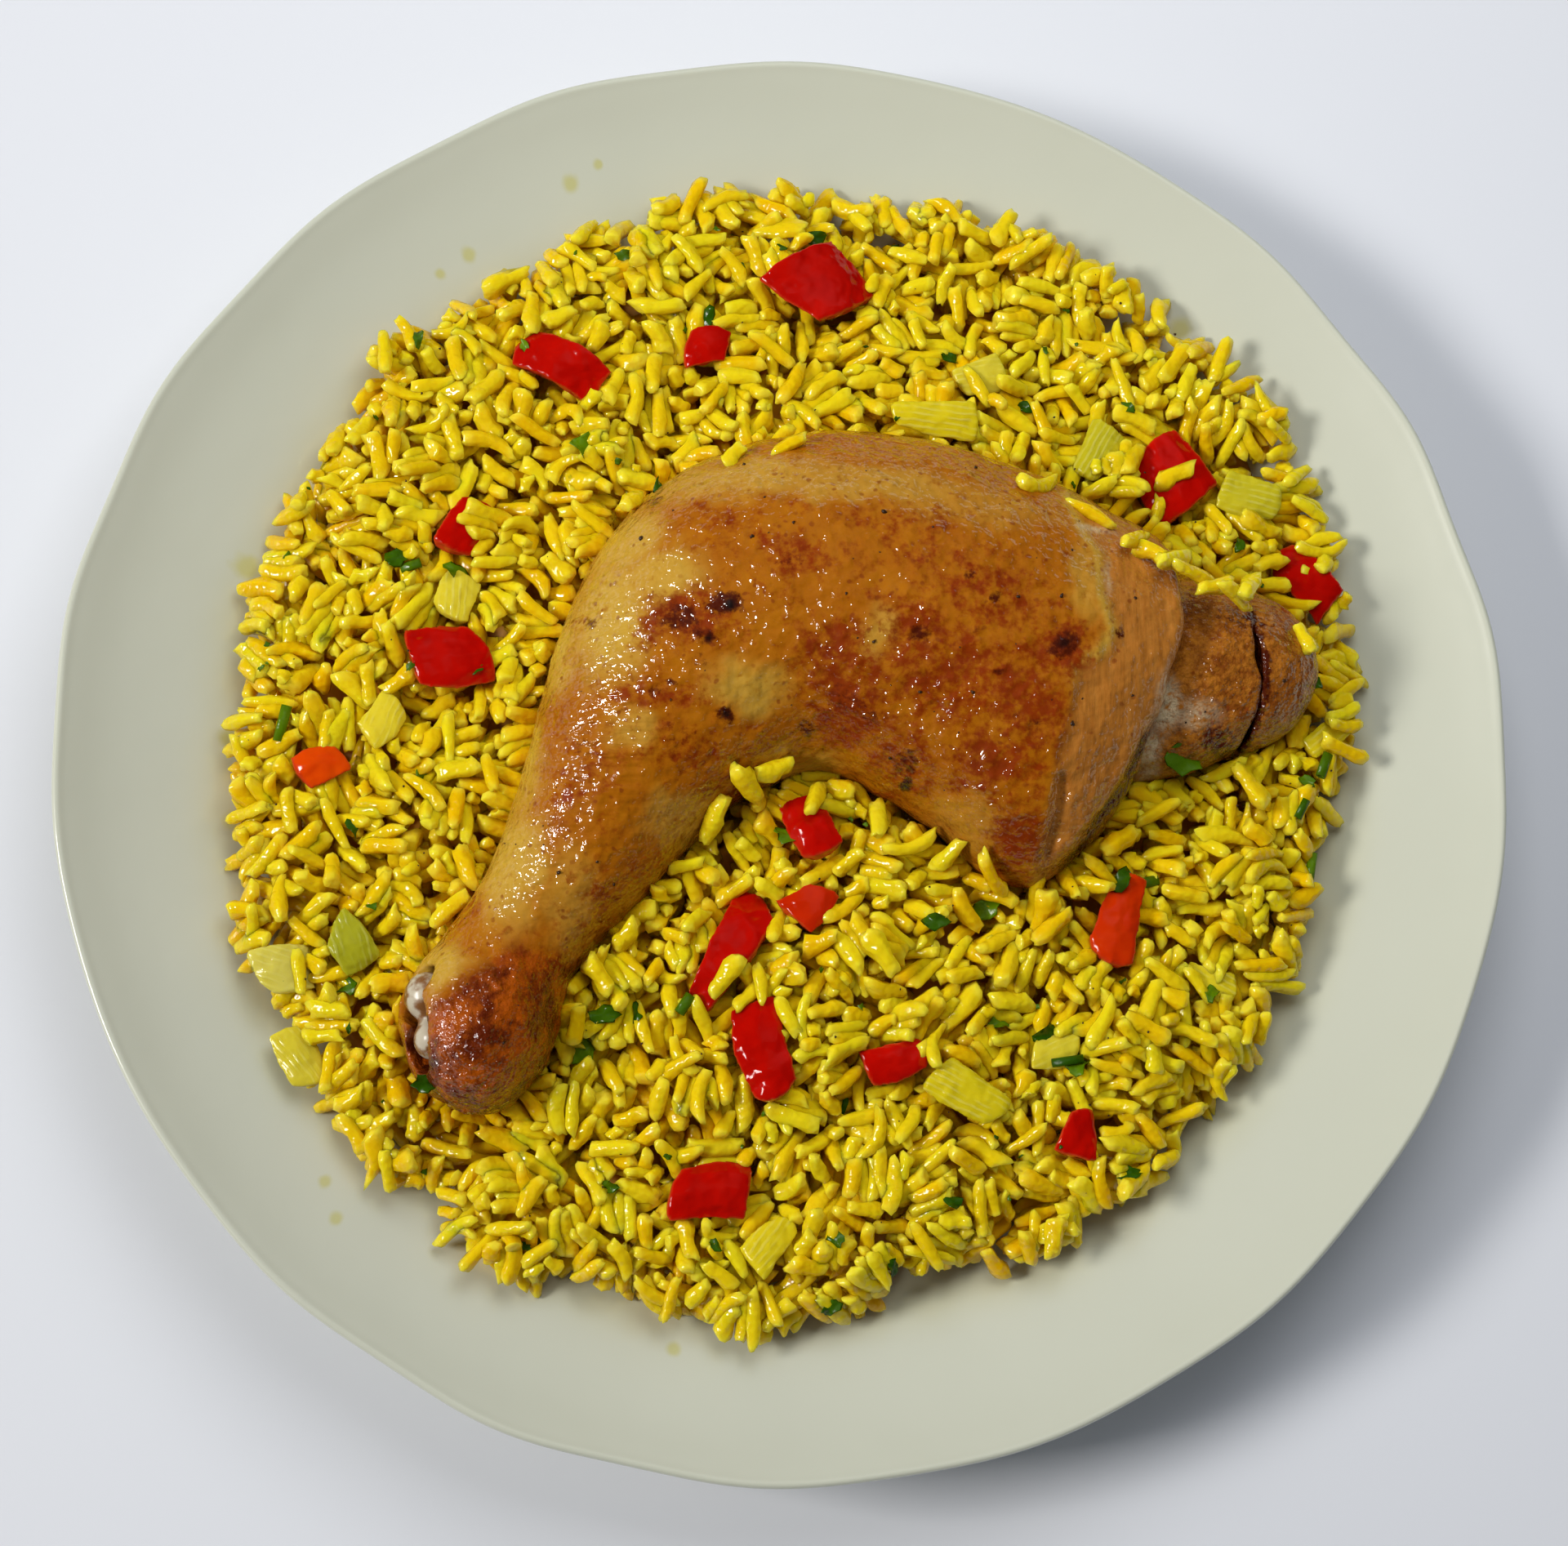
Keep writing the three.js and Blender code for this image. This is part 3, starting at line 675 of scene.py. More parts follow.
surface_points = points_of(leg)
# Painted shade: the cleft and the hollows of the knuckle get the dark colour of the burnt spots.
cleft_painted_shade = smoothstep(-np.abs(line_distance(surface_points, CLEFT)), -1.7, -0.6)
hollows_painted_shade = patch_mask(surface_points, [(-68.2, -56.5, 2.2, 2.2, 1.0), (-66.3, -64.3, 2.4, 1.6, 1.0)], 0.5)
add_values(leg, "roast", np.maximum(patch_mask(surface_points, BROWNED, 2.2), roast_end))
burnt_and_painted_shade = np.maximum(patch_mask(surface_points, BURNT, 1.2), 0.9 * patch_mask(surface_points, BACK_BURNT_AND_SHADE, 1.5))
# Painted shade: along the crease at the crook, and in the gap under the lower edge of the flap.
crease_painted_shade = 0.55 * np.exp(-(line_distance(surface_points, CREASE) / 0.8) ** 2)
under_flap_painted_shade = np.exp(-((flap_side - 0.9) / 0.9) ** 2) * smoothstep(-surface_points[:, 1] / MM, -4, 2)
add_values(leg, "burnt_and_painted_shade", np.maximum.reduce([burnt_and_painted_shade, cleft_painted_shade, hollows_painted_shade, crease_painted_shade, under_flap_painted_shade]))
skin_rim = 0.9 * np.exp(-((flesh_side + 1.0) / 1.5) ** 2) * (1 - back_part)
skin_rim = skin_rim * smoothstep(surface_points[:, 1] / MM, 2, 14)
add_values(leg, "soot", patch_mask(surface_points, SOOT, 0.5))
# Pale fat and skin edge, and painted light on the left of the knee that faces the window.
add_values(leg, "pale_and_lit", np.maximum(patch_mask(surface_points, PALE_AND_LIT, 2.5), skin_rim) * (1 - roast_end))
add_values(leg, "meat", bare_meat)
add_values(leg, "back", back_part)
add_values(leg, "ends", roast_end)
add_values(leg, "sinew", patch_mask(surface_points, SINEW, 1.2))
add_values(leg, "knee", knee)
print("roasted patches:", len(BROWNED) + len(BURNT) + len(BACK_BURNT_AND_SHADE))


# %% Wrinkles and streaks
def wrinkled(tree, place):
    """The place, shifted about so that round cells turn into folds and wrinkles."""
    shift = add_node(tree, "ShaderNodeTexNoise", Vector=place, Scale=1 / 0.003, Detail=2.0).outputs["Color"]
    return vector_calc(tree, "MULTIPLY_ADD", shift, (0.0022, 0.0014, 0.0022), place)


def stretched(tree, place, degrees, scale):
    """The place turned and squeezed, so that round spots become long streaks."""
    turn = (0, 0, math.radians(degrees))
    settings = {"vector_type": "POINT"}
    made = add_node(tree, "ShaderNodeMapping", settings, Vector=place, Rotation=turn, Scale=scale)
    return made.outputs["Vector"]


# %% Colour of the skin
def skin_colour(tree, place, folded, fine, mottle, fibres):
    golden = blend(tree, mottle, rgb(184, 114, 8), rgb(150, 72, 0))
    fair_and_lit = blend(tree, fine, rgb(212, 174, 76), rgb(186, 140, 24))
    # Pale fat, and painted light where the knee faces the window.
    colour = blend(tree, value_of(tree, "pale_and_lit"), golden, fair_and_lit)
    grain = times(tree, calc(tree, "SUBTRACT", fine, 0.5), 1.6)
    blotches = noise_at(tree, folded, 0.0034, 3.0, 0.6)
    blotches = times(tree, calc(tree, "SUBTRACT", blotches, 0.5), 2.4)
    blotches = plus(tree, blotches, times(tree, value_of(tree, "pale_and_lit"), -0.3))
    uneven = plus(tree, value_of(tree, "roast"), plus(tree, grain, blotches))
    roasted = blend(tree, mottle, rgb(154, 58, 0), rgb(102, 30, 2))
    colour = blend(tree, span(tree, uneven, -0.02, 0.98), colour, roasted)
    raw = blend(tree, fibres, rgb(200, 134, 56), rgb(150, 82, 18))
    colour = blend(tree, times(tree, value_of(tree, "meat"), 0.85), colour, raw)
    speckle = span(tree, plus(tree, mottle, fine), 0.75, 1.25)
    back = blend(tree, speckle, rgb(172, 104, 26), rgb(120, 60, 10))
    colour = blend(tree, value_of(tree, "back"), colour, back)
    knuckle = blend(tree, span(tree, mottle, 0.38, 0.6), rgb(168, 76, 2), rgb(96, 30, 2))
    colour = blend(tree, value_of(tree, "ends"), colour, knuckle)
    sinewy = times(tree, value_of(tree, "sinew"), span(tree, fine, 0.3, 0.6))
    colour = blend(tree, sinewy, colour, rgb(204, 180, 140))

    pores = add_node(tree, "ShaderNodeTexVoronoi", Vector=folded, Scale=1 / 0.0024)
    freckled = span(tree, noise_at(tree, place, 0.009, 2.0), 0.42, 0.58)
    freckles = times(tree, span(tree, pores.outputs["Distance"], 0.26, 0.12), freckled)
    colour = blend(tree, times(tree, freckles, 0.6), colour, rgb(120, 44, 10))
    # Burnt spots, and painted shade in the cleft, the hollows, the crease and under the flap.
    burnt_spots_and_shade = span(tree, plus(tree, value_of(tree, "burnt_and_painted_shade"), grain), 0.4, 1.0)
    colour = blend(tree, burnt_spots_and_shade, colour, rgb(76, 22, 4))
    return blend(tree, value_of(tree, "soot"), colour, rgb(26, 14, 12))


# %% Finish of the skin
def skin_finish():
    material, tree = new_finish("roast_skin")
    place = place_of(tree)
    fine = noise_at(tree, place, 0.0013, 4.0, 0.65)
    mottle = noise_at(tree, place, 0.006, 4.0, 0.65)
    fibres = noise_at(tree, stretched(tree, place, 14, (1.0, 0.12, 0.6)), 0.0011, 3.0, 0.6)
    folded = wrinkled(tree, place)
    colour = skin_colour(tree, place, folded, fine, mottle, fibres)

    roughness, ripples = moist_finish(tree, 0.0016, 0.0003, 0.4, 0.6)
    smooth = {"feature": "SMOOTH_F1"}
    cells = add_node(tree, "ShaderNodeTexVoronoi", smooth, Vector=folded, Scale=1 / 0.0026)
    folds = noise_at(tree, stretched(tree, place, -22, (0.22, 1.0, 0.5)), 0.0013, 1.0)
    folds = times(tree, folds, value_of(tree, "knee"))
    strands = times(tree, fibres, value_of(tree, "meat"))
    crusty = plus(tree, value_of(tree, "ends"), value_of(tree, "back"))
    crust = times(tree, noise_at(tree, place, 0.0012, 2.0, 0.6), crusty)
    normal = relief(tree, strands, 0.00018, ripples)
    normal = relief(tree, crust, 0.0006, normal)
    normal = relief(tree, folds, 0.0007, normal)
    normal = relief(tree, cells.outputs["Distance"], -0.0005, normal)
    taut = calc(tree, "SUBTRACT", 1.0, times(tree, value_of(tree, "knee"), 0.4))
    wrinkles = times(tree, noise_at(tree, folded, 0.0013, 1.0), taut)
    film = relief(tree, wrinkles, 0.00065, normal)
    surface(
        tree, Base_Color=colour, Roughness=roughness, Normal=normal, Specular_IOR_Level=0.1,
        Coat_Weight=1.0, Coat_Roughness=0.05, Coat_IOR=1.6, Coat_Normal=film,
    )
    return material


add_piece("chicken_roast", leg, skin_finish(), ["chicken_leg"])


# %% Knuckle ends of the bone
def bone_finish():
    material, tree = new_finish("pearly_gristle")
    place = place_of(tree)
    cloud = noise_at(tree, place, 0.003, 3.0)
    stained = span(tree, cloud, 0.4, 0.6)
    roughness, ripples = moist_finish(tree, 0.0015, 0.0001, 0.2, 0.4)
    surface(
        tree, Base_Color=blend(tree, stained, rgb(196, 184, 160), rgb(128, 84, 44)), Roughness=roughness,
        Normal=ripples,
    )
    return material


BONE_GRID = 0.8 * MM
BONE_SHIFT = np.array((0.9, 0.2, -0.6)) * MM
BONE_SHRUNK = 0.86
bone = remeshed(mesh_of(merged_copy("leg_bone"), "bone"), BONE_GRID)
rounded(bone, 12)
bone_points = points_of(bone)
bone_middle = bone_points.mean(axis=0) + BONE_SHIFT
set_points(bone, bone_middle + (bone_points - bone_middle) * BONE_SHRUNK)
add_piece("bone_knuckle", bone, bone_finish(), ["leg_bone"])

# %% [markdown]
# ## Diced pepper and leek
# Each dice is its own solid. Cutting leaves crisp but not sharp edges, and cooking softens and warps the
# walls. So a fine grid is laid over each dice, evened out a little and pushed out of true.


# %% Tools for diced vegetables
DICE_GRID = 0.42 * MM
PEPPER_CURL = 1.1
LEEK_CURL = 0.5


def diced(node, seed, curl):
    """A dice in an even grid, softened, cut askew, curled and warped."""
    mesh = remeshed(mesh_of(merged_copy(node), node + "_diced"), DICE_GRID)
    rounded(mesh, 5)
    own, ways = own_place(mesh)
    reach = np.abs(own).max(axis=0)
    u, v = (own / reach)[:, :2].T
    askew, taper, bow = rng.uniform(-0.3, 0.3, 3)
    shaped = own + np.stack([
        reach[1] * askew * v + reach[0] * bow * v**2 * 0.5,
        reach[1] * v * taper * u + reach[1] * 0.8 * bow * (u**2 - 0.4),
        curl * (0.4 - u**2) * np.sign(ways[2, 2]) * MM,
    ], axis=1)
    set_points(mesh, points_of(mesh).mean(axis=0) + shaped @ ways)
    points, normals = points_of(mesh), normals_of(mesh)
    push = 0.35 * bumps(points, 6 * MM, seed) + 0.14 * bumps(points, 1.8 * MM, seed + 1)
    set_points(mesh, points + normals * push[:, None] * MM)
    return mesh


def own_place(mesh):
    """Points of a dice measured from its middle, along its longest, middle and shortest ways."""
    points = points_of(mesh)
    centred = points - points.mean(axis=0)
    ways = np.linalg.svd(centred, full_matrices=False)[2]
    return centred @ ways.T, ways


# %% [markdown]
# A dice of pepper has a glossy, deep red skin on one broad side. Its cut sides show paler, wetter flesh.

# %% Red pepper
PEPPER_TONES = {"pepper_08": 1.0, "pepper_16": 0.25, "pepper_13": 0.4}


def pepper_finish():
    material, tree = new_finish("red_pepper")
    place = place_of(tree)
    cloud = noise_at(tree, place, 0.005, 3.0)
    skin = blend(tree, cloud, rgb(198, 14, 2), rgb(152, 4, 2))
    orange = blend(tree, cloud, rgb(228, 84, 4), rgb(212, 52, 4))
    skin = blend(tree, value_of(tree, "orange"), skin, orange)
    flesh = blend(tree, cloud, rgb(206, 66, 28), rgb(184, 40, 18))
    colour = blend(tree, value_of(tree, "cut"), skin, flesh)
    roughness, ripples = moist_finish(tree, 0.0026, 0.0006, 0.06, 0.16)
    surface(
        tree, Base_Color=colour, Roughness=roughness, Normal=ripples, Specular_IOR_Level=0.3,
        Subsurface_Weight=0.15, Subsurface_Radius=(1.0, 0.1, 0.05), Subsurface_Scale=0.002,
    )
    return material


pepper_red = pepper_finish()
for number, name in enumerate(peppers):
    dice = diced(name, 20 + number, PEPPER_CURL)
    own, ways = own_place(dice)
    facing = np.abs(normals_of(dice) @ ways[2])
    add_values(dice, "cut", smoothstep(-facing, -0.85, -0.45))
    add_values(dice, "orange", np.full(len(own), PEPPER_TONES.get(name, 0.0)))
    add_piece(name + "_diced", dice, pepper_red, [name])

# %% [markdown]
# Leek is a stack of thin leaves, so fine ribs run along each piece. Pieces from high on the stem are
# green, those from low on it nearly white, and all of them have taken up the yellow of the rice.

# %% Leek
LEEK_TONES = {"leek_05": (0.1, 0.9), "leek_06": (0.8, 0.1), "leek_02": (0.55, 0.1), "leek_03": (0.5, 0.1)}


def leek_finish():
    material, tree = new_finish("cooked_leek")
    place = place_of(tree)
    cloud = noise_at(tree, place, 0.004, 3.0)
    yellow = blend(tree, cloud, rgb(246, 220, 30), rgb(222, 194, 10))
    green = blend(tree, cloud, rgb(152, 158, 8), rgb(104, 124, 4))
    white = blend(tree, cloud, rgb(218, 206, 108), rgb(198, 184, 54))
    colour = blend(tree, value_of(tree, "green"), yellow, green)
    colour = blend(tree, value_of(tree, "white"), colour, white)
    wander = times(tree, noise_at(tree, place, 0.005, 2.0), 7.0)
    rows = times(tree, value_of(tree, "across"), 5.2)
    wave_of_ribs = calc(tree, "SINE", plus(tree, rows, wander))
    ribs = times(tree, span(tree, wave_of_ribs, -0.2, 1.0), span(tree, cloud, 0.35, 0.65))
    colour = blend(tree, times(tree, ribs, 0.18), colour, rgb(240, 238, 150))
    roughness, ripples = moist_finish(tree, 0.0016, 0.0004, 0.1, 0.26)
    surface(
        tree, Base_Color=colour, Roughness=roughness, Normal=relief(tree, ribs, 0.00008, ripples),
        Specular_IOR_Level=0.4, Subsurface_Weight=0.6, Subsurface_Radius=(1.0, 0.9, 0.2),
        Subsurface_Scale=0.003,
    )
    return material


leek_cooked = leek_finish()
for number, name in enumerate(leeks):
    dice = diced(name, 60 + number, LEEK_CURL)
    own, ways = own_place(dice)
    green, white = LEEK_TONES.get(name, (0.12 + 0.2 * rng.random(), 0.3 * rng.random()))
    add_values(dice, "across", own[:, 1] / MM)
    add_values(dice, "green", np.full(len(own), green))
    add_values(dice, "white", np.full(len(own), white))
    add_piece(name + "_diced", dice, leek_cooked, [name])

# %% [markdown]
# ## Rice
# The heap is thousands of grains, and only real grains look like it. They are dropped one by one, as
# from a spoon. A height map of the plate and of everything on it tells where each grain touches first,
# and the grain tips over until it lies as low as it can. Then it becomes part of the map itself, so the
# next grain rests on it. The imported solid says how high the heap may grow.

# %% Height maps
CELL = 0.5
REACH = 122.0
NOTHING = -99.0
axis = np.arange(-REACH + CELL / 2, REACH, CELL)


def top_at(tree, x, y):
    """Height in mm of what is met first from above, or far below where there is nothing."""
    hit = tree.ray_cast(Vector((x * MM, y * MM, 0.2)), Vector((0, 0, -1)))[0]
    return NOTHING if hit is None else hit.z / MM


def height_map(nodes):
    """Height in mm of some solids, seen from above, over every cell. The last one there counts."""
    tall = np.full((len(axis) // 2, len(axis) // 2), NOTHING)
    for node in nodes:
        bm = merged_copy(node)
        tree = BVHTree.FromBMesh(bm)
        bm.free()
        for row, y in enumerate(axis[::2] + CELL / 2):
            found = np.array([top_at(tree, x, y) for x in axis[::2] + CELL / 2])
            tall[row] = np.where(found > NOTHING, found, tall[row])
    return np.kron(tall, np.ones((2, 2)))


def dice_map(names):
    """The height map of many small pieces, each one looked for only over its own box."""
    tall = np.full((len(axis), len(axis)), NOTHING)
    for name in names:
        low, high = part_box(name)
        bm = merged_copy(name)
        tree = BVHTree.FromBMesh(bm)
        bm.free()
        for row in np.flatnonzero((axis > low.y / MM) & (axis < high.y / MM)):
            for column in np.flatnonzero((axis > low.x / MM) & (axis < high.x / MM)):
                found = top_at(tree, axis[column], axis[row])
                tall[row, column] = found if found > NOTHING else tall[row, column]
    return tall


# %% Wider and narrower areas
def spread(field, reach_mm, pick):
    """The highest or lowest value within reach of every cell."""
    steps = int(round(reach_mm / CELL))
    for way in (0, 1):
        field = pick.reduce([np.roll(field, step, way) for step in range(-steps, steps + 1)])
    return field


def shrunk(area, edge_mm):
    """An area without an edge of the given width."""
    return spread(np.where(area, 1, 0), edge_mm, np.minimum) > 0


# %% Maps of this plate
heap_top = height_map(["rice"])
plate_top = height_map(["plate"])
leg_top = height_map(["chicken_leg", "leg_bone"])
dice_top = dice_map(peppers + leeks)
in_heap = heap_top > 0
areas = [round(part.sum() * CELL**2 / 100) for part in (in_heap, leg_top > 0)]
print("cm2 of the heap and of the leg:", areas)

# %% [markdown]
# ### Lumps
# Rice that was cooked with fat and stock sticks together, so a heap of it is lumpy: rounded lumps with
# gaps between them. The lumps are domes of uneven size set side by side. They shape the top of the
# heap, and they cut its outline into scallops.

# %% Lumps
LUMP_SPACING = 13.5
LUMP_RADIUS = 10.2
LUMP_HEIGHT = 9.0


def lump_map():
    """1 on the top of the tallest lumps, falling to 0 in the gaps between them."""
    tall = np.zeros((len(axis), len(axis)))
    for row, y in enumerate(np.arange(-REACH, REACH, LUMP_SPACING)):
        for x in np.arange(-REACH, REACH, LUMP_SPACING) + LUMP_SPACING / 2 * (row % 2):
            middle = (x, y) + rng.uniform(-0.36, 0.36, 2) * LUMP_SPACING
            radius, height = LUMP_RADIUS * rng.uniform(0.75, 1.25), rng.uniform(0.55, 1)
            away = np.hypot(axis[None, :] - middle[0], axis[:, None] - middle[1]) / radius
            tall = np.maximum(tall, height * np.sqrt(np.maximum(1 - away**2, 0)))
    return tall


lumps = lump_map()
print("share of the heap in gaps:", round((lumps[in_heap] < 0.35).mean(), 2))

# %% [markdown]
# ### What lies underneath
# Only the outer grains can be seen. The inside of the heap is one body with a lumpy top, a few
# millimetres below the grains. It is a ball pressed flat: its upper half takes the lowered height of
# the heap, its lower half lies on the plate. Its deeper amber is painted shade for the rice seen in the
# gaps.

# %% Underlayer
GRAIN_LAYER = 9.5
LEAST_CORE = 0.4
CORE_MARGIN = 10
lowest_top = spread(np.where(in_heap, heap_top, 99.0), 2.0, np.minimum) + LUMP_HEIGHT * (lumps - 0.6)
core_top = np.where(in_heap, np.maximum(lowest_top - GRAIN_LAYER, plate_top + LEAST_CORE), plate_top)
core_top = np.where(lowest_top > 80, plate_top, core_top)


def map_value(field, x, y):
    """The value of a map at places given in mm."""
    column = np.clip(((np.asarray(x) + REACH) / CELL).astype(int), 0, len(axis) - 1)
    row = np.clip(((np.asarray(y) + REACH) / CELL).astype(int), 0, len(axis) - 1)
    return field[row, column]


def underlayer_mesh():
    bm = bmesh.new()
    bmesh.ops.create_uvsphere(bm, u_segments=144, v_segments=64, radius=1.0)
    mesh = mesh_of(bm, "rice_underlayer")
    unit = points_of(mesh)
    angle = np.arctan2(unit[:, 1], unit[:, 0])
    share = 1 - np.abs(np.arcsin(np.clip(unit[:, 2], -1, 1))) / (math.pi / 2)
    low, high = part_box("rice")
    cx, cy = [(low[way] + high[way]) / 2 / MM for way in (0, 1)]
    steps = np.arange(60, 130, 0.5)
    rim = np.array([
        steps[map_value(in_heap, cx + steps * math.cos(a), cy + steps * math.sin(a))].max()
        for a in angle.tolist()
    ])
    out = share * (rim - CORE_MARGIN)
    x, y = cx + out * np.cos(angle), cy + out * np.sin(angle)
    floor = map_value(plate_top, x, y) + 0.05
    top = map_value(core_top, x, y)
    z = np.where(unit[:, 2] > 0.001, top, np.where(unit[:, 2] < -0.001, floor, (floor + top) / 2))
    set_points(mesh, np.stack([x, y, np.maximum(z, floor)], axis=1) * MM)
    return mesh


# %% [markdown]
# ### Laying the grains
# Cooked rice comes off the spoon in little bundles: three to eight grains stuck side by side, with a
# few loose ones. A bundle is dropped as one body. Of a handful of ways it could tip, it takes the one
# in which it lies lowest. Its grains overlap a little, as grains do that have burst into each other.

# %% A bundle of grains
KINDS = {  # share, length and its spread, width, bend, how far it has burst
    "long": (0.22, 9.4, 1.0, 2.95, 0.4, 0.3),
    "curved": (0.19, 9.4, 1.1, 3.0, 1.8, 0.5),
    "burst": (0.20, 9.0, 1.1, 3.35, 0.9, 1.0),
    "split": (0.17, 8.6, 1.1, 3.55, 0.7, 0.9),
    "short": (0.17, 6.2, 0.9, 3.2, 0.5, 0.8),
    "crumb": (0.05, 3.9, 0.8, 2.7, 0.3, 0.9),
}
KIND_NAMES = list(KINDS)
KIND_SHARES = np.array([kind[0] for kind in KINDS.values()])
PITCH = 1.95
LAYER_LIFT = 1.7
LOOSE_SHARE = 0.18
ROW_SIZE = 5
print("kinds of grain:", dict(zip(KIND_NAMES, KIND_SHARES.tolist())))


def new_grain():
    """Kind, length and width in mm."""
    kind = rng.choice(len(KINDS), p=KIND_SHARES)
    _, length, spread_of_length, width, _, _ = KINDS[KIND_NAMES[kind]]
    return kind, length + spread_of_length * rng.uniform(-1.6, 1.6), width * rng.uniform(0.85, 1.12)


def new_bundle():
    """One row for each grain: place along, across and above the bundle, turn, kind, length, width."""
    count = 1 if rng.random() < LOOSE_SHARE else rng.integers(3, 9)
    rows = []
    for layer, members in enumerate((min(count, ROW_SIZE), max(count - ROW_SIZE, 0))):
        for number in range(members):
            across = (number - (members - 1) / 2) * PITCH + rng.normal(0, 0.15)
            lift = layer * LAYER_LIFT + rng.normal(0, 0.12)
            rows.append((rng.normal(0, 1.5), across, lift, rng.normal(0, 0.17), *new_grain()))
    return np.array(rows)


# %% How a bundle comes to rest
ALONG = np.linspace(-1, 1, 5)[None, :, None]
ACROSS = np.array((-0.75, 0.0, 0.75))[None, None, :]
TILTS = np.array([(a, b) for a in np.linspace(-0.9, 0.9, 9) for b in np.linspace(-0.9, 0.9, 9)])
TILT_TRIES = 9
SINK = 1.2


def settle(ground, x, y, heading, bundle):
    """Height, tilt along and tilt across with which a bundle comes to rest."""
    along, across, lift, turn, _, length, width = bundle.T[:, :, None, None]
    step, side = ALONG * (length / 2 - 0.3 * width), ACROSS * width / 2
    s = along + step * np.cos(turn) - side * np.sin(turn)
    c = across + step * np.sin(turn) + side * np.cos(turn)
    u, v = math.cos(heading), math.sin(heading)
    under = map_value(ground, x + s * u - c * v, y + s * v + c * u) - lift
    under += width / 2 * np.sqrt(1 - ACROSS**2)
    tilts = TILTS[rng.integers(len(TILTS), size=TILT_TRIES)]
    heights = (under.ravel() - tilts[:, :1] * s.ravel() - tilts[:, 1:] * c.ravel()).max(axis=1)
    best = heights.argmin()
    return heights[best], *tilts[best]


def lie_down(ground, x, y, bundle, headings):
    """The grains of a bundle where it rests lowest: x, y, z, heading, slope, length, width, kind."""
    (z, along_tilt, across_tilt), heading = min((settle(ground, x, y, way, bundle), way) for way in headings)
    along, across, lift, turn, kind, length, width = bundle.T
    u, v = math.cos(heading), math.sin(heading)
    return np.column_stack([
        x + along * u - across * v,
        y + along * v + across * u,
        z - SINK + lift + along_tilt * along + across_tilt * across,
        heading + turn,
        along_tilt * np.cos(turn) + across_tilt * np.sin(turn),
        length, width, kind,
    ])


def stamp(ground, x, y, z, heading, slope, length, width):
    """Raises the ground by the back of a grain."""
    reach = int((length / 2 + 1) / CELL) + 1
    column, row = int((x + REACH) / CELL), int((y + REACH) / CELL)
    rows, columns = slice(row - reach, row + reach + 1), slice(column - reach, column + reach + 1)
    dx, dy = axis[columns][None, :] - x, axis[rows][:, None] - y
    u, v = math.cos(heading), math.sin(heading)
    s, c = dx * u + dy * v, dy * u - dx * v
    inside = np.clip(s, 0.3 * width - length / 2, length / 2 - 0.3 * width)
    room = (0.48 * width) ** 2 - c**2 - (s - inside) ** 2
    back = z + slope * inside + np.sqrt(np.maximum(room, 0))
    part = ground[rows, columns]
    part[:] = np.where(room > 0, np.maximum(part, back), part)


# %% Dropping the bundles
PATIENCE = 700
grains = []


def fill(ground, limit, allowed, most, rise):
    """Drops bundles into the emptiest of a few random places until hardly any fits any more.
    Their grains may rise a little above the limit, one of them 2.5 mm more than the others."""
    cells = np.argwhere(allowed)
    refused = 0
    while len(grains) < most and refused < PATIENCE:
        rows, columns = cells[rng.integers(len(cells), size=6)].T
        deepest = (limit[rows, columns] - ground[rows, columns]).argmax()
        x, y = axis[columns[deepest]], axis[rows[deepest]]
        laid = lie_down(ground, x, y, new_bundle(), rng.uniform(0, math.tau, 5))
        laid = laid[map_value(allowed, laid[:, 0], laid[:, 1])]
        above = laid[:, 2] + laid[:, 6] / 2 - map_value(limit, laid[:, 0], laid[:, 1])
        if not len(laid) or above.mean() > rise or above.max() > rise + 2.5:
            refused += 1
            continue
        refused = 0
        for grain in laid:
            stamp(ground, *grain[:7])
            grains.append(grain)


# %% [markdown]
# The grains are laid in two rounds. The first fills the heap below the leg and the dice, so that nothing
# there hangs in the air. The second covers what is still open. It leaves the leg bare, and the dice that
# lie on top, but it may cover the dice that are half buried.

# %% The grains below
EDGE_THICKNESS = 7.5
MOST_BELOW = 4800
MOST_GRAINS = 5600
BURIED = ("pepper_03", "pepper_07", "pepper_12", "pepper_13", "pepper_14", "pepper_16", "leek_10", "leek_13")
DICE_THICKNESS = 2.5
under_leg = shrunk(leg_top > 0, 7.0)
from_edge = sum(shrunk(in_heap, edge) for edge in (2.5, 3.5, 4.5, 5.5, 6.5))
bed = (from_edge > 4.5 - 6 * lumps) & (from_edge > 0)
open_rice = bed & (leg_top < 0)
ground = np.maximum(plate_top, core_top)
limit = np.maximum(heap_top, np.minimum(plate_top + EDGE_THICKNESS, heap_top + 4))
limit = limit + LUMP_HEIGHT * (lumps - 0.6)
below_dice = spread(dice_top, 1.0, np.maximum)
below_dice = np.where(below_dice > 0, below_dice - DICE_THICKNESS, 99)
fill(ground, np.minimum(limit, below_dice), bed & ~under_leg, MOST_BELOW, 0.4)
print("grains under the leg and the dice:", len(grains))

# %% The grains on top
shown_dice = [name for name in peppers + leeks if name not in BURIED]
covered = shrunk(dice_map(shown_dice) > 0, 2.5) | shrunk(leg_top > 0, 1.4)
ground = np.maximum.reduce([ground, dice_top, leg_top])
limit = spread(limit, 2.5, np.maximum)
below = len(grains)
fill(ground, limit, bed & ~covered, MOST_GRAINS, 0.3)
print("grains laid on top:", len(grains) - below)

# %% [markdown]
# Single grains have strayed onto the diced pepper and over the edges of the chicken.

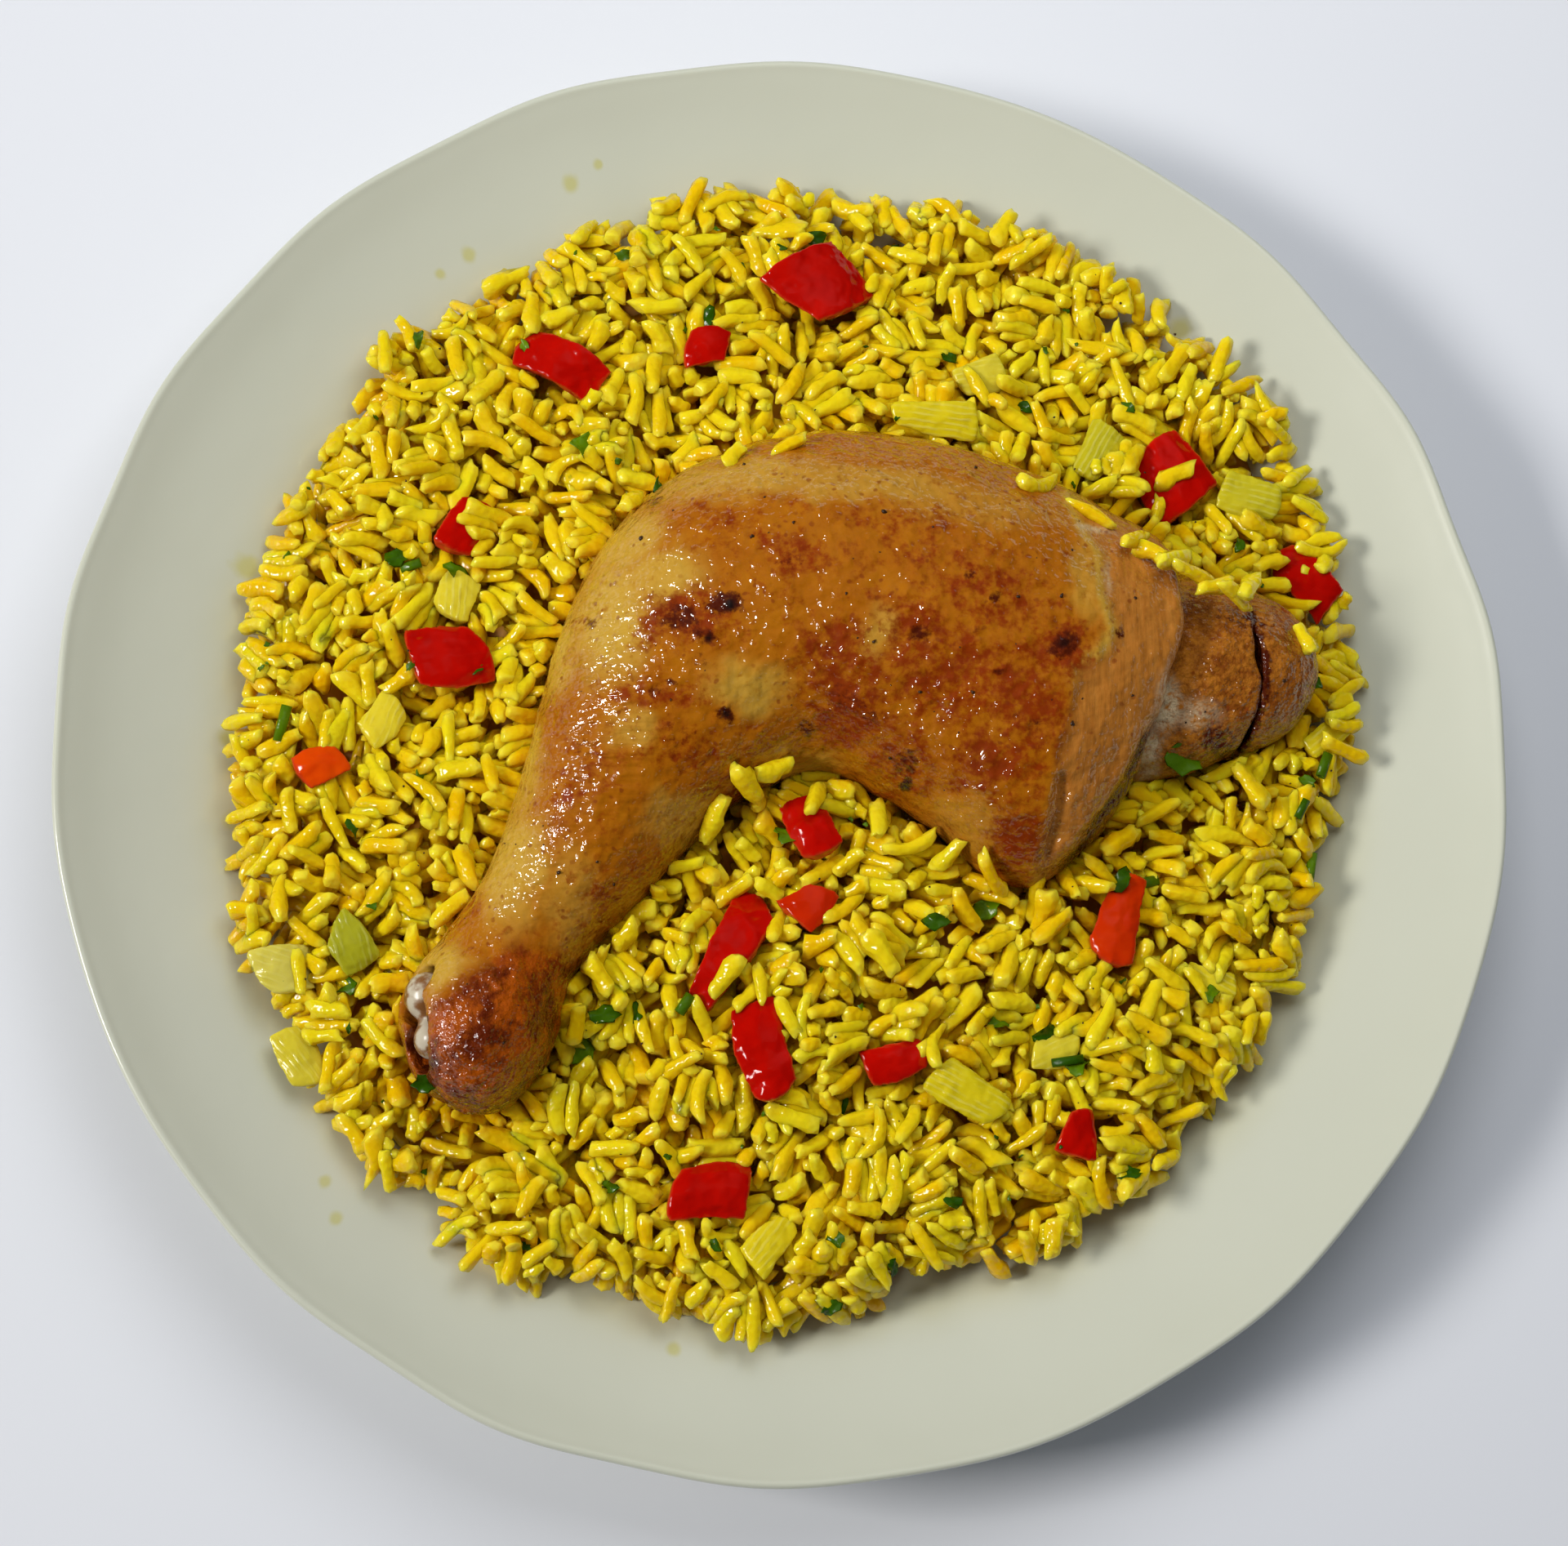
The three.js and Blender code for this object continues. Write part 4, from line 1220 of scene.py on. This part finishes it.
# %% Stray grains
STRAY = [  # x, y, heading
    (-12, 50.5, 0.9), (-1.5, 52.5, 0.5), (75.5, 54, 0.35), (56, 41, 2.6), (46, 46.5, 0.2),
    (-31, 43, 0.8), (4, -13.5, 1.2), (-12.5, -47, 0.9), (88.5, -8, 2.2), (49, -36.5, 0.7), (67, 33, 2.7),
    (70.5, 31, 0.3), (75, 28.5, 2.9), (79, 26.5, 0.2), (83, 25, 2.6), (86, 27, 0.9), (98, 19, 2.0),
    (64, 35.5, 0.5), (-54, 12, 1.3), (-57, -8, 1.8), (-18, -36, 0.8), (-26, -46, 1.0), (22, -22, 0.3),
    (62, -20, 0.6), (70, -14, 0.5), (-4, -9, 0.4), (-9, -12, 2.4), (-15, -18, 1.1), (-20, -26, 0.2),
    (-25, -31, 1.9), (-31, -39, 0.9), (-36, -47, 2.2), (-40, -56, 1.4), (9, -11, 2.8), (16, -17, 1.5),
    (29, -24, 0.8), (37, -28, 2.3), (-61, -26, 1.9), (-64, -34, 0.7),
]
for x, y, heading in STRAY:
    single = np.array([(0, 0, 0, 0, *new_grain())])
    laid = lie_down(ground, x, y, single, [heading])
    stamp(ground, *laid[0, :7])
    grains.append(laid[0])
print("stray grains:", len(STRAY), "grains in all:", len(grains))

# %% [markdown]
# ### The shape of a grain
# Long rice swells as it boils. Some grains stay smooth rods, some bend, and many burst: they spread at
# one end, and a furrow opens along them. Every grain starts as a small ball whose points are moved by
# a few numbers of its own, so no two are alike.

# %% A small ball
def lying_along_x(bm):
    """Points and faces of a small body that stood upright."""
    bmesh.ops.recalc_face_normals(bm, faces=bm.faces)
    bmesh.ops.rotate(bm, verts=bm.verts, matrix=Matrix.Rotation(math.pi / 2, 3, "Y"))
    points = np.array([vert.co[:] for vert in bm.verts])
    faces = [[vert.index for vert in face.verts] for face in bm.faces]
    bm.free()
    return points, faces


def unit_ball(segments, rings):
    bm = bmesh.new()
    bmesh.ops.create_uvsphere(bm, u_segments=segments, v_segments=rings, radius=1.0)
    return lying_along_x(bm)


def column(values):
    return np.asarray(values)[:, None]


# %% Grains out of balls
def shaped_grains(kind, laid, ball):
    """Points of all grains of a kind, in mm, each about its own middle and lying along x."""
    count, (bx, by, bz) = len(laid), ball.T
    length, width = column(laid[:, 5]), column(laid[:, 6])
    most_bend, burst = KINDS[kind][4:]
    around = np.arctan2(bz, by)
    t = np.sign(bx) * np.abs(bx) ** 0.85
    bend = most_bend * column(rng.normal(0, 0.6, count))
    thick = np.hypot(by, bz) ** column(rng.uniform(0.22, 0.5, count))
    end = column(rng.choice((-1, 1), count))
    flare = column(rng.uniform(0.0, 0.4, count)) * burst
    waist = 0.1 * np.sin(3 * t + column(rng.uniform(0, math.tau, count)))
    thick = thick * (1 + flare * smoothstep(t * end, -0.1, 0.9) - 0.14 * (1 - burst) * t**2 + waist)
    lobes = column(rng.integers(2, 4, count))
    phase = column(rng.uniform(0, math.tau, count))
    furrow = column(rng.uniform(0.04, 0.2, count)) * (0.4 + burst)
    thick = thick * (1 + furrow * np.cos(lobes * around + phase) * (0.5 + 0.5 * np.abs(t)))
    ragged = rng.normal(0, 0.035, (count, len(bx)))
    for lumps_around, lumps_along in ((1, 5.0), (2, -3.5), (3, 2.5)):
        shift = column(rng.uniform(0, math.tau, count))
        size = column(rng.uniform(0.02, 0.08 + 0.05 * burst, count))
        ragged = ragged + size * np.sin(lumps_around * around + lumps_along * t + shift)
    flat = column(rng.uniform(0.8, 0.98, count))
    slant = column(rng.normal(0, 0.45, count)) * np.abs(t) ** 3
    y = width / 2 * thick * np.cos(around) * (1 + ragged)
    z = width / 2 * thick * np.sin(around) * (1 + ragged) * flat
    x = length / 2 * (t + 0.6 * ragged) + slant * y
    return np.stack([x, y + bend * (t**2 - 0.4), z], axis=2), np.broadcast_to(np.abs(t), x.shape)


# %% Grains put in their places
def placed(points, laid):
    """Turns grains to the way they lie and moves them to their places."""
    x, y, z, heading, slope = laid[:, :5].T
    tilt, roll = np.arctan(slope), rng.uniform(-0.6, 0.6, len(laid))
    ahead = np.stack([np.cos(heading) * np.cos(tilt), np.sin(heading) * np.cos(tilt), np.sin(tilt)], axis=1)
    side = np.stack([-np.sin(heading), np.cos(heading), np.zeros(len(laid))], axis=1)
    up = np.cross(ahead, side)
    turned_side = column(np.cos(roll)) * side + column(np.sin(roll)) * up
    turned_up = column(np.cos(roll)) * up - column(np.sin(roll)) * side
    frames = np.stack([ahead, turned_side, turned_up], axis=1)
    return np.einsum("nvi,nij->nvj", points, frames) + np.stack([x, y, z], axis=1)[:, None, :]


def joined(name, points, faces, **values):
    """One mesh of many small bodies that share their faces."""
    count, size = points.shape[:2]
    steps = (np.arange(count) * size).tolist()
    mesh = bpy.data.meshes.new(name)
    all_faces = [[corner + step for corner in face] for step in steps for face in faces]
    mesh.from_pydata((points.reshape(-1, 3) * MM).tolist(), [], all_faces)
    for key, numbers in values.items():
        add_values(mesh, key, np.broadcast_to(numbers, (count, size)).ravel())
    return mesh


# %% [markdown]
# Saffron and stock colour the rice. Its outside is a clear lemon yellow, and its burst ends are paler.
# Grains that lie deep below the top of the heap are painted a darker orange: painted shade for the gaps
# between them, where light that has passed through many grains turns orange.

# %% Rice finish
SHADE_START = 1.6
SHADE_DEPTH = 8.5


def rice_finish():
    material, tree = new_finish("yellow_rice")
    place = place_of(tree)
    cloud = noise_at(tree, place, 0.012, 2.0)
    fine = noise_at(tree, place, 0.0013, 2.0)
    amber = blend(tree, cloud, rgb(230, 180, 4), rgb(234, 192, 8))
    lemon = blend(tree, cloud, rgb(233, 212, 28), rgb(230, 206, 20))
    colour = blend(tree, value_of(tree, "tint"), amber, lemon)
    pale_ends = times(tree, span(tree, value_of(tree, "along"), 0.5, 1.0), fine)
    colour = blend(tree, pale_ends, colour, rgb(244, 226, 70))
    # Painted shade: grains deep below the top of the heap turn a darker orange.
    colour = blend(tree, times(tree, value_of(tree, "deep"), 0.5), colour, rgb(232, 166, 2))
    roughness, ripples = moist_finish(tree, 0.0012, 0.00042, 0.06, 0.2)
    surface(
        tree, Base_Color=colour, Roughness=roughness, Normal=ripples, Specular_IOR_Level=0.45,
        Subsurface_Weight=0.8, Subsurface_Radius=(1.0, 0.85, 0.12), Subsurface_Scale=0.0026,
    )
    return material


def underlayer_finish():
    material, tree = new_finish("rice_below_painted_shade")
    cloud = noise_at(tree, place_of(tree), 0.004, 2.0)
    roughness, ripples = moist_finish(tree, 0.003, 0.0008, 0.5, 0.7)
    # A deeper amber than the grains: painted shade for the rice seen in the gaps between them.
    colour = blend(tree, cloud, rgb(234, 166, 6), rgb(212, 138, 4))
    surface(tree, Base_Color=colour, Roughness=roughness, Normal=ripples)
    return material


# %% The rice
rice_yellow = rice_finish()
laid_grains = np.array(grains)
highest = spread(np.where(in_heap, ground, 0.0), 2.5, np.maximum)
ball, ball_faces = unit_ball(8, 10)
for number, kind in enumerate(KINDS):
    laid = laid_grains[laid_grains[:, 7] == number]
    shapes, along = shaped_grains(kind, laid, ball)
    shapes = placed(shapes, laid)
    tint = column(np.clip(rng.normal(0.55, 0.3, len(laid)), 0, 1))
    # How deep each point lies below the top of the heap, for the painted shade.
    depth = map_value(highest, shapes[:, :, 0], shapes[:, :, 1]) - shapes[:, :, 2]
    deep = smoothstep(depth, SHADE_START, SHADE_DEPTH)
    mesh = joined("rice_" + kind, shapes, ball_faces, tint=tint, along=along, deep=deep)
    add_piece("rice_" + kind, mesh, rice_yellow, ["rice"])
add_piece("rice_underlayer", underlayer_mesh(), underlayer_finish(), ["rice"])

# %% [markdown]
# ## Herbs and seasoning
# Chopped parsley, a few rings of chives and coarse black pepper were stirred in, so they lie on top of
# the grains wherever they came to rest. Parsley is a thin, curled scrap of leaf. A chive is a tube.

# %% Where the herbs lie
PARSLEY = [
    (-72.8, 79.4, 4.0), (-32.8, 98.2, 3.4), (-16.6, 85, 4.5), (-39.8, 56.8, 6.0), (5.2, 102.6, 4.5),
    (21.4, 103.1, 3.5), (31.7, 78.2, 4.4), (46.2, 67.5, 3.2), (66.4, 67.5, 3.4), (-75.9, 34.2, 4.6),
    (-64.2, 31.6, 6.0), (-82.7, -17.9, 3.6), (-78.8, -33, 3.0), (-82.9, -47.7, 4.4), (-67.3, -67.6, 4.6),
    (-38.7, -60.3, 5.4), (-35, -54.1, 6.0), (-28.9, -53.3, 4.2), (74.3, -4.4, 7.4), (-0.6, -20.3, 6.4),
    (62.6, -27.4, 6.0), (36.7, -33.2, 6.0), (26.5, -36.4, 5.0), (39.5, -54.2, 5.4), (48.8, -56.4, 6.8),
    (54, -62, 5.5), (100.5, -6.1, 3.6), (63.7, -82.4, 5.2), (7.7, -107.1, 4.0), (19.1, -99.9, 4.4),
    (-49.4, -96.1, 3.6), (-33.8, -85.2, 5.0), (8.5, -94.8, 3.6), (101.1, 11.7, 3.4), (-26, 46, 4.0),
    (-52, 78, 3.0), (-60, 12, 3.0), (-70, -8, 3.4), (10, -70, 4.0), (30, -88, 3.6), (80, -48, 4.0),
    (88, 40, 3.2), (-14, -96, 3.4),
]
CHIVES = [  # x, y, length, heading
    (-96.6, 2.1, 7.0, 1.35), (101.4, -22.9, 6.5, 1.4), (-73, 33, 4.0, 0.3), (52, -61.5, 6.0, 0.15),
    (68, -27, 5.0, 0.25), (-20, -52, 4.0, 1.0), (104, -3, 5.0, 1.2), (99, -12, 4.0, 1.1),
]


# %% Scraps and how they lie
def resting(x, y):
    """The second highest of five places side by side, where a light scrap comes to rest."""
    offsets = np.array([(0, 0), (1, 0), (-1, 0), (0, 1), (0, -1)])
    return np.sort(map_value(ground, x + offsets[:, 0], y + offsets[:, 1]))[-2]


def leaf_shapes(sizes, ball):
    """Thin, frilled and curled scraps of leaf in mm, each about its own middle."""
    count, (bx, by, bz) = len(sizes), ball.T
    length, width = column(sizes) / 2, column(sizes * rng.uniform(0.4, 0.8, len(sizes))) / 2
    around, out = np.arctan2(by, bx), np.hypot(bx, by)
    phase = column(rng.uniform(0, math.tau, count))
    lobes = 1 + 0.16 * np.cos(column(rng.integers(3, 6, count)) * around + phase) * out
    lobes = lobes * (1 + rng.normal(0, 0.1, (count, len(bx))) * out)
    frill = 0.13 * column(sizes) * np.sin(3 * around + 2 * phase) * out**2
    curl, twist = column(rng.uniform(0.05, 0.3, count)), column(rng.normal(0, 0.3, count))
    x, y = length * bx * lobes, width * by * lobes
    return np.stack([x, y, 0.12 * bz + frill + curl * (y**2 - 0.3 * x**2) / width + twist * x * by], axis=2)


def laid_scraps(places, lift=-0.1, slope=0.5):
    """Where scraps lie: place, height, heading and slope."""
    rows = [(x, y, resting(x, y) + lift, rng.uniform(0, math.pi), rng.normal(0, slope)) for x, y in places]
    return np.array(rows)


# %% Herbs
def herb_finish():
    material, tree = new_finish("chopped_herbs")
    place = place_of(tree)
    cloud = noise_at(tree, place, 0.002, 2.0)
    dark = blend(tree, cloud, rgb(30, 66, 2), rgb(50, 88, 4))
    fresh = blend(tree, cloud, rgb(112, 142, 6), rgb(78, 114, 4))
    roughness, ripples = moist_finish(tree, 0.001, 0.0002, 0.18, 0.4)
    surface(
        tree, Base_Color=blend(tree, value_of(tree, "tint"), dark, fresh), Roughness=roughness,
        Normal=ripples, Specular_IOR_Level=0.3,
    )
    return material


# %% Parsley
herb_green = herb_finish()
CRUMBS = 70
crumbs = np.column_stack([rng.uniform(-105, 108, (CRUMBS, 2)), rng.uniform(1.0, 2.2, CRUMBS)])
crumbs = crumbs[map_value(open_rice, crumbs[:, 0], crumbs[:, 1])]
leaves = np.vstack([PARSLEY, crumbs])
leaf_tint = column(rng.random(len(leaves)) ** 2)
leaf, leaf_faces = unit_ball(12, 8)
leaf_places = laid_scraps(leaves[:, :2])
leaf_points = placed(leaf_shapes(leaves[:, 2], leaf[:, [2, 1, 0]]), leaf_places)
leaf_mesh = joined("parsley", leaf_points, leaf_faces, tint=leaf_tint)
add_piece("parsley_chopped", leaf_mesh, herb_green)


# %% Chives
def unit_tube(segments, wall):
    """A tube of length 2 and radius 1, with a wall."""
    bm = bmesh.new()
    bmesh.ops.create_cone(bm, cap_ends=False, segments=segments, radius1=1, radius2=1, depth=2)
    bmesh.ops.solidify(bm, geom=bm.faces[:], thickness=wall)
    return lying_along_x(bm)


chives = np.array(CHIVES)
tube, tube_faces = unit_tube(12, 0.35)
thickness = rng.uniform(0.8, 1.1, len(chives))
rods = tube[None] * np.stack([chives[:, 2] / 2, thickness, 0.7 * thickness], axis=1)[:, None, :]
chive_places = laid_scraps(chives[:, :2], 0.5, 0.15)
chive_places[:, 3] = chives[:, 3]
chive_mesh = joined("chives", placed(rods, chive_places), tube_faces, tint=column(rng.random(len(chives))))
add_piece("chives_cut", chive_mesh, herb_green)


# %% [markdown]
# Pepper is coarse and black on the skin, and finer in the rice.

# %% Ground pepper
def seasoning_finish():
    material, tree = new_finish("ground_pepper")
    cloud = noise_at(tree, place_of(tree), 0.0008, 2.0)
    surface(tree, Base_Color=blend(tree, cloud, rgb(34, 20, 12), rgb(74, 44, 20)), Roughness=0.45)
    return material


leg_tree = BVHTree.FromPolygons([vert.co for vert in leg.vertices], [face.vertices for face in leg.polygons])
SPECK_SHARE = 0.2
specks = []
for x, y in rng.uniform((-80, -75), (105, 55), (900, 2)):
    hit = leg_tree.ray_cast(Vector((x, y, 200)) * MM, Vector((0, 0, -1)))
    if hit[0] is not None and hit[1].z > 0.5 and rng.random() < SPECK_SHARE:
        specks.append((x, y, hit[0].z / MM + 0.02, 0.25 + 0.7 * rng.random() ** 3))
for x, y in rng.uniform(-105, 108, (200, 2)):
    if map_value(open_rice, x, y):
        specks.append((x, y, map_value(ground, x, y) - 0.1, rng.uniform(0.25, 0.5)))
specks = np.array(specks)
pebble, pebble_faces = unit_ball(6, 4)
grit = pebble[None] * (specks[:, 3, None, None] / 2) * rng.uniform(0.5, 1.5, (len(specks), len(pebble), 1))
lie = np.column_stack([specks[:, :3], rng.uniform(0, math.pi, len(specks)), rng.normal(0, 0.4, len(specks))])
add_piece("pepper_ground", joined("grit", placed(grit, lie), pebble_faces), seasoning_finish())
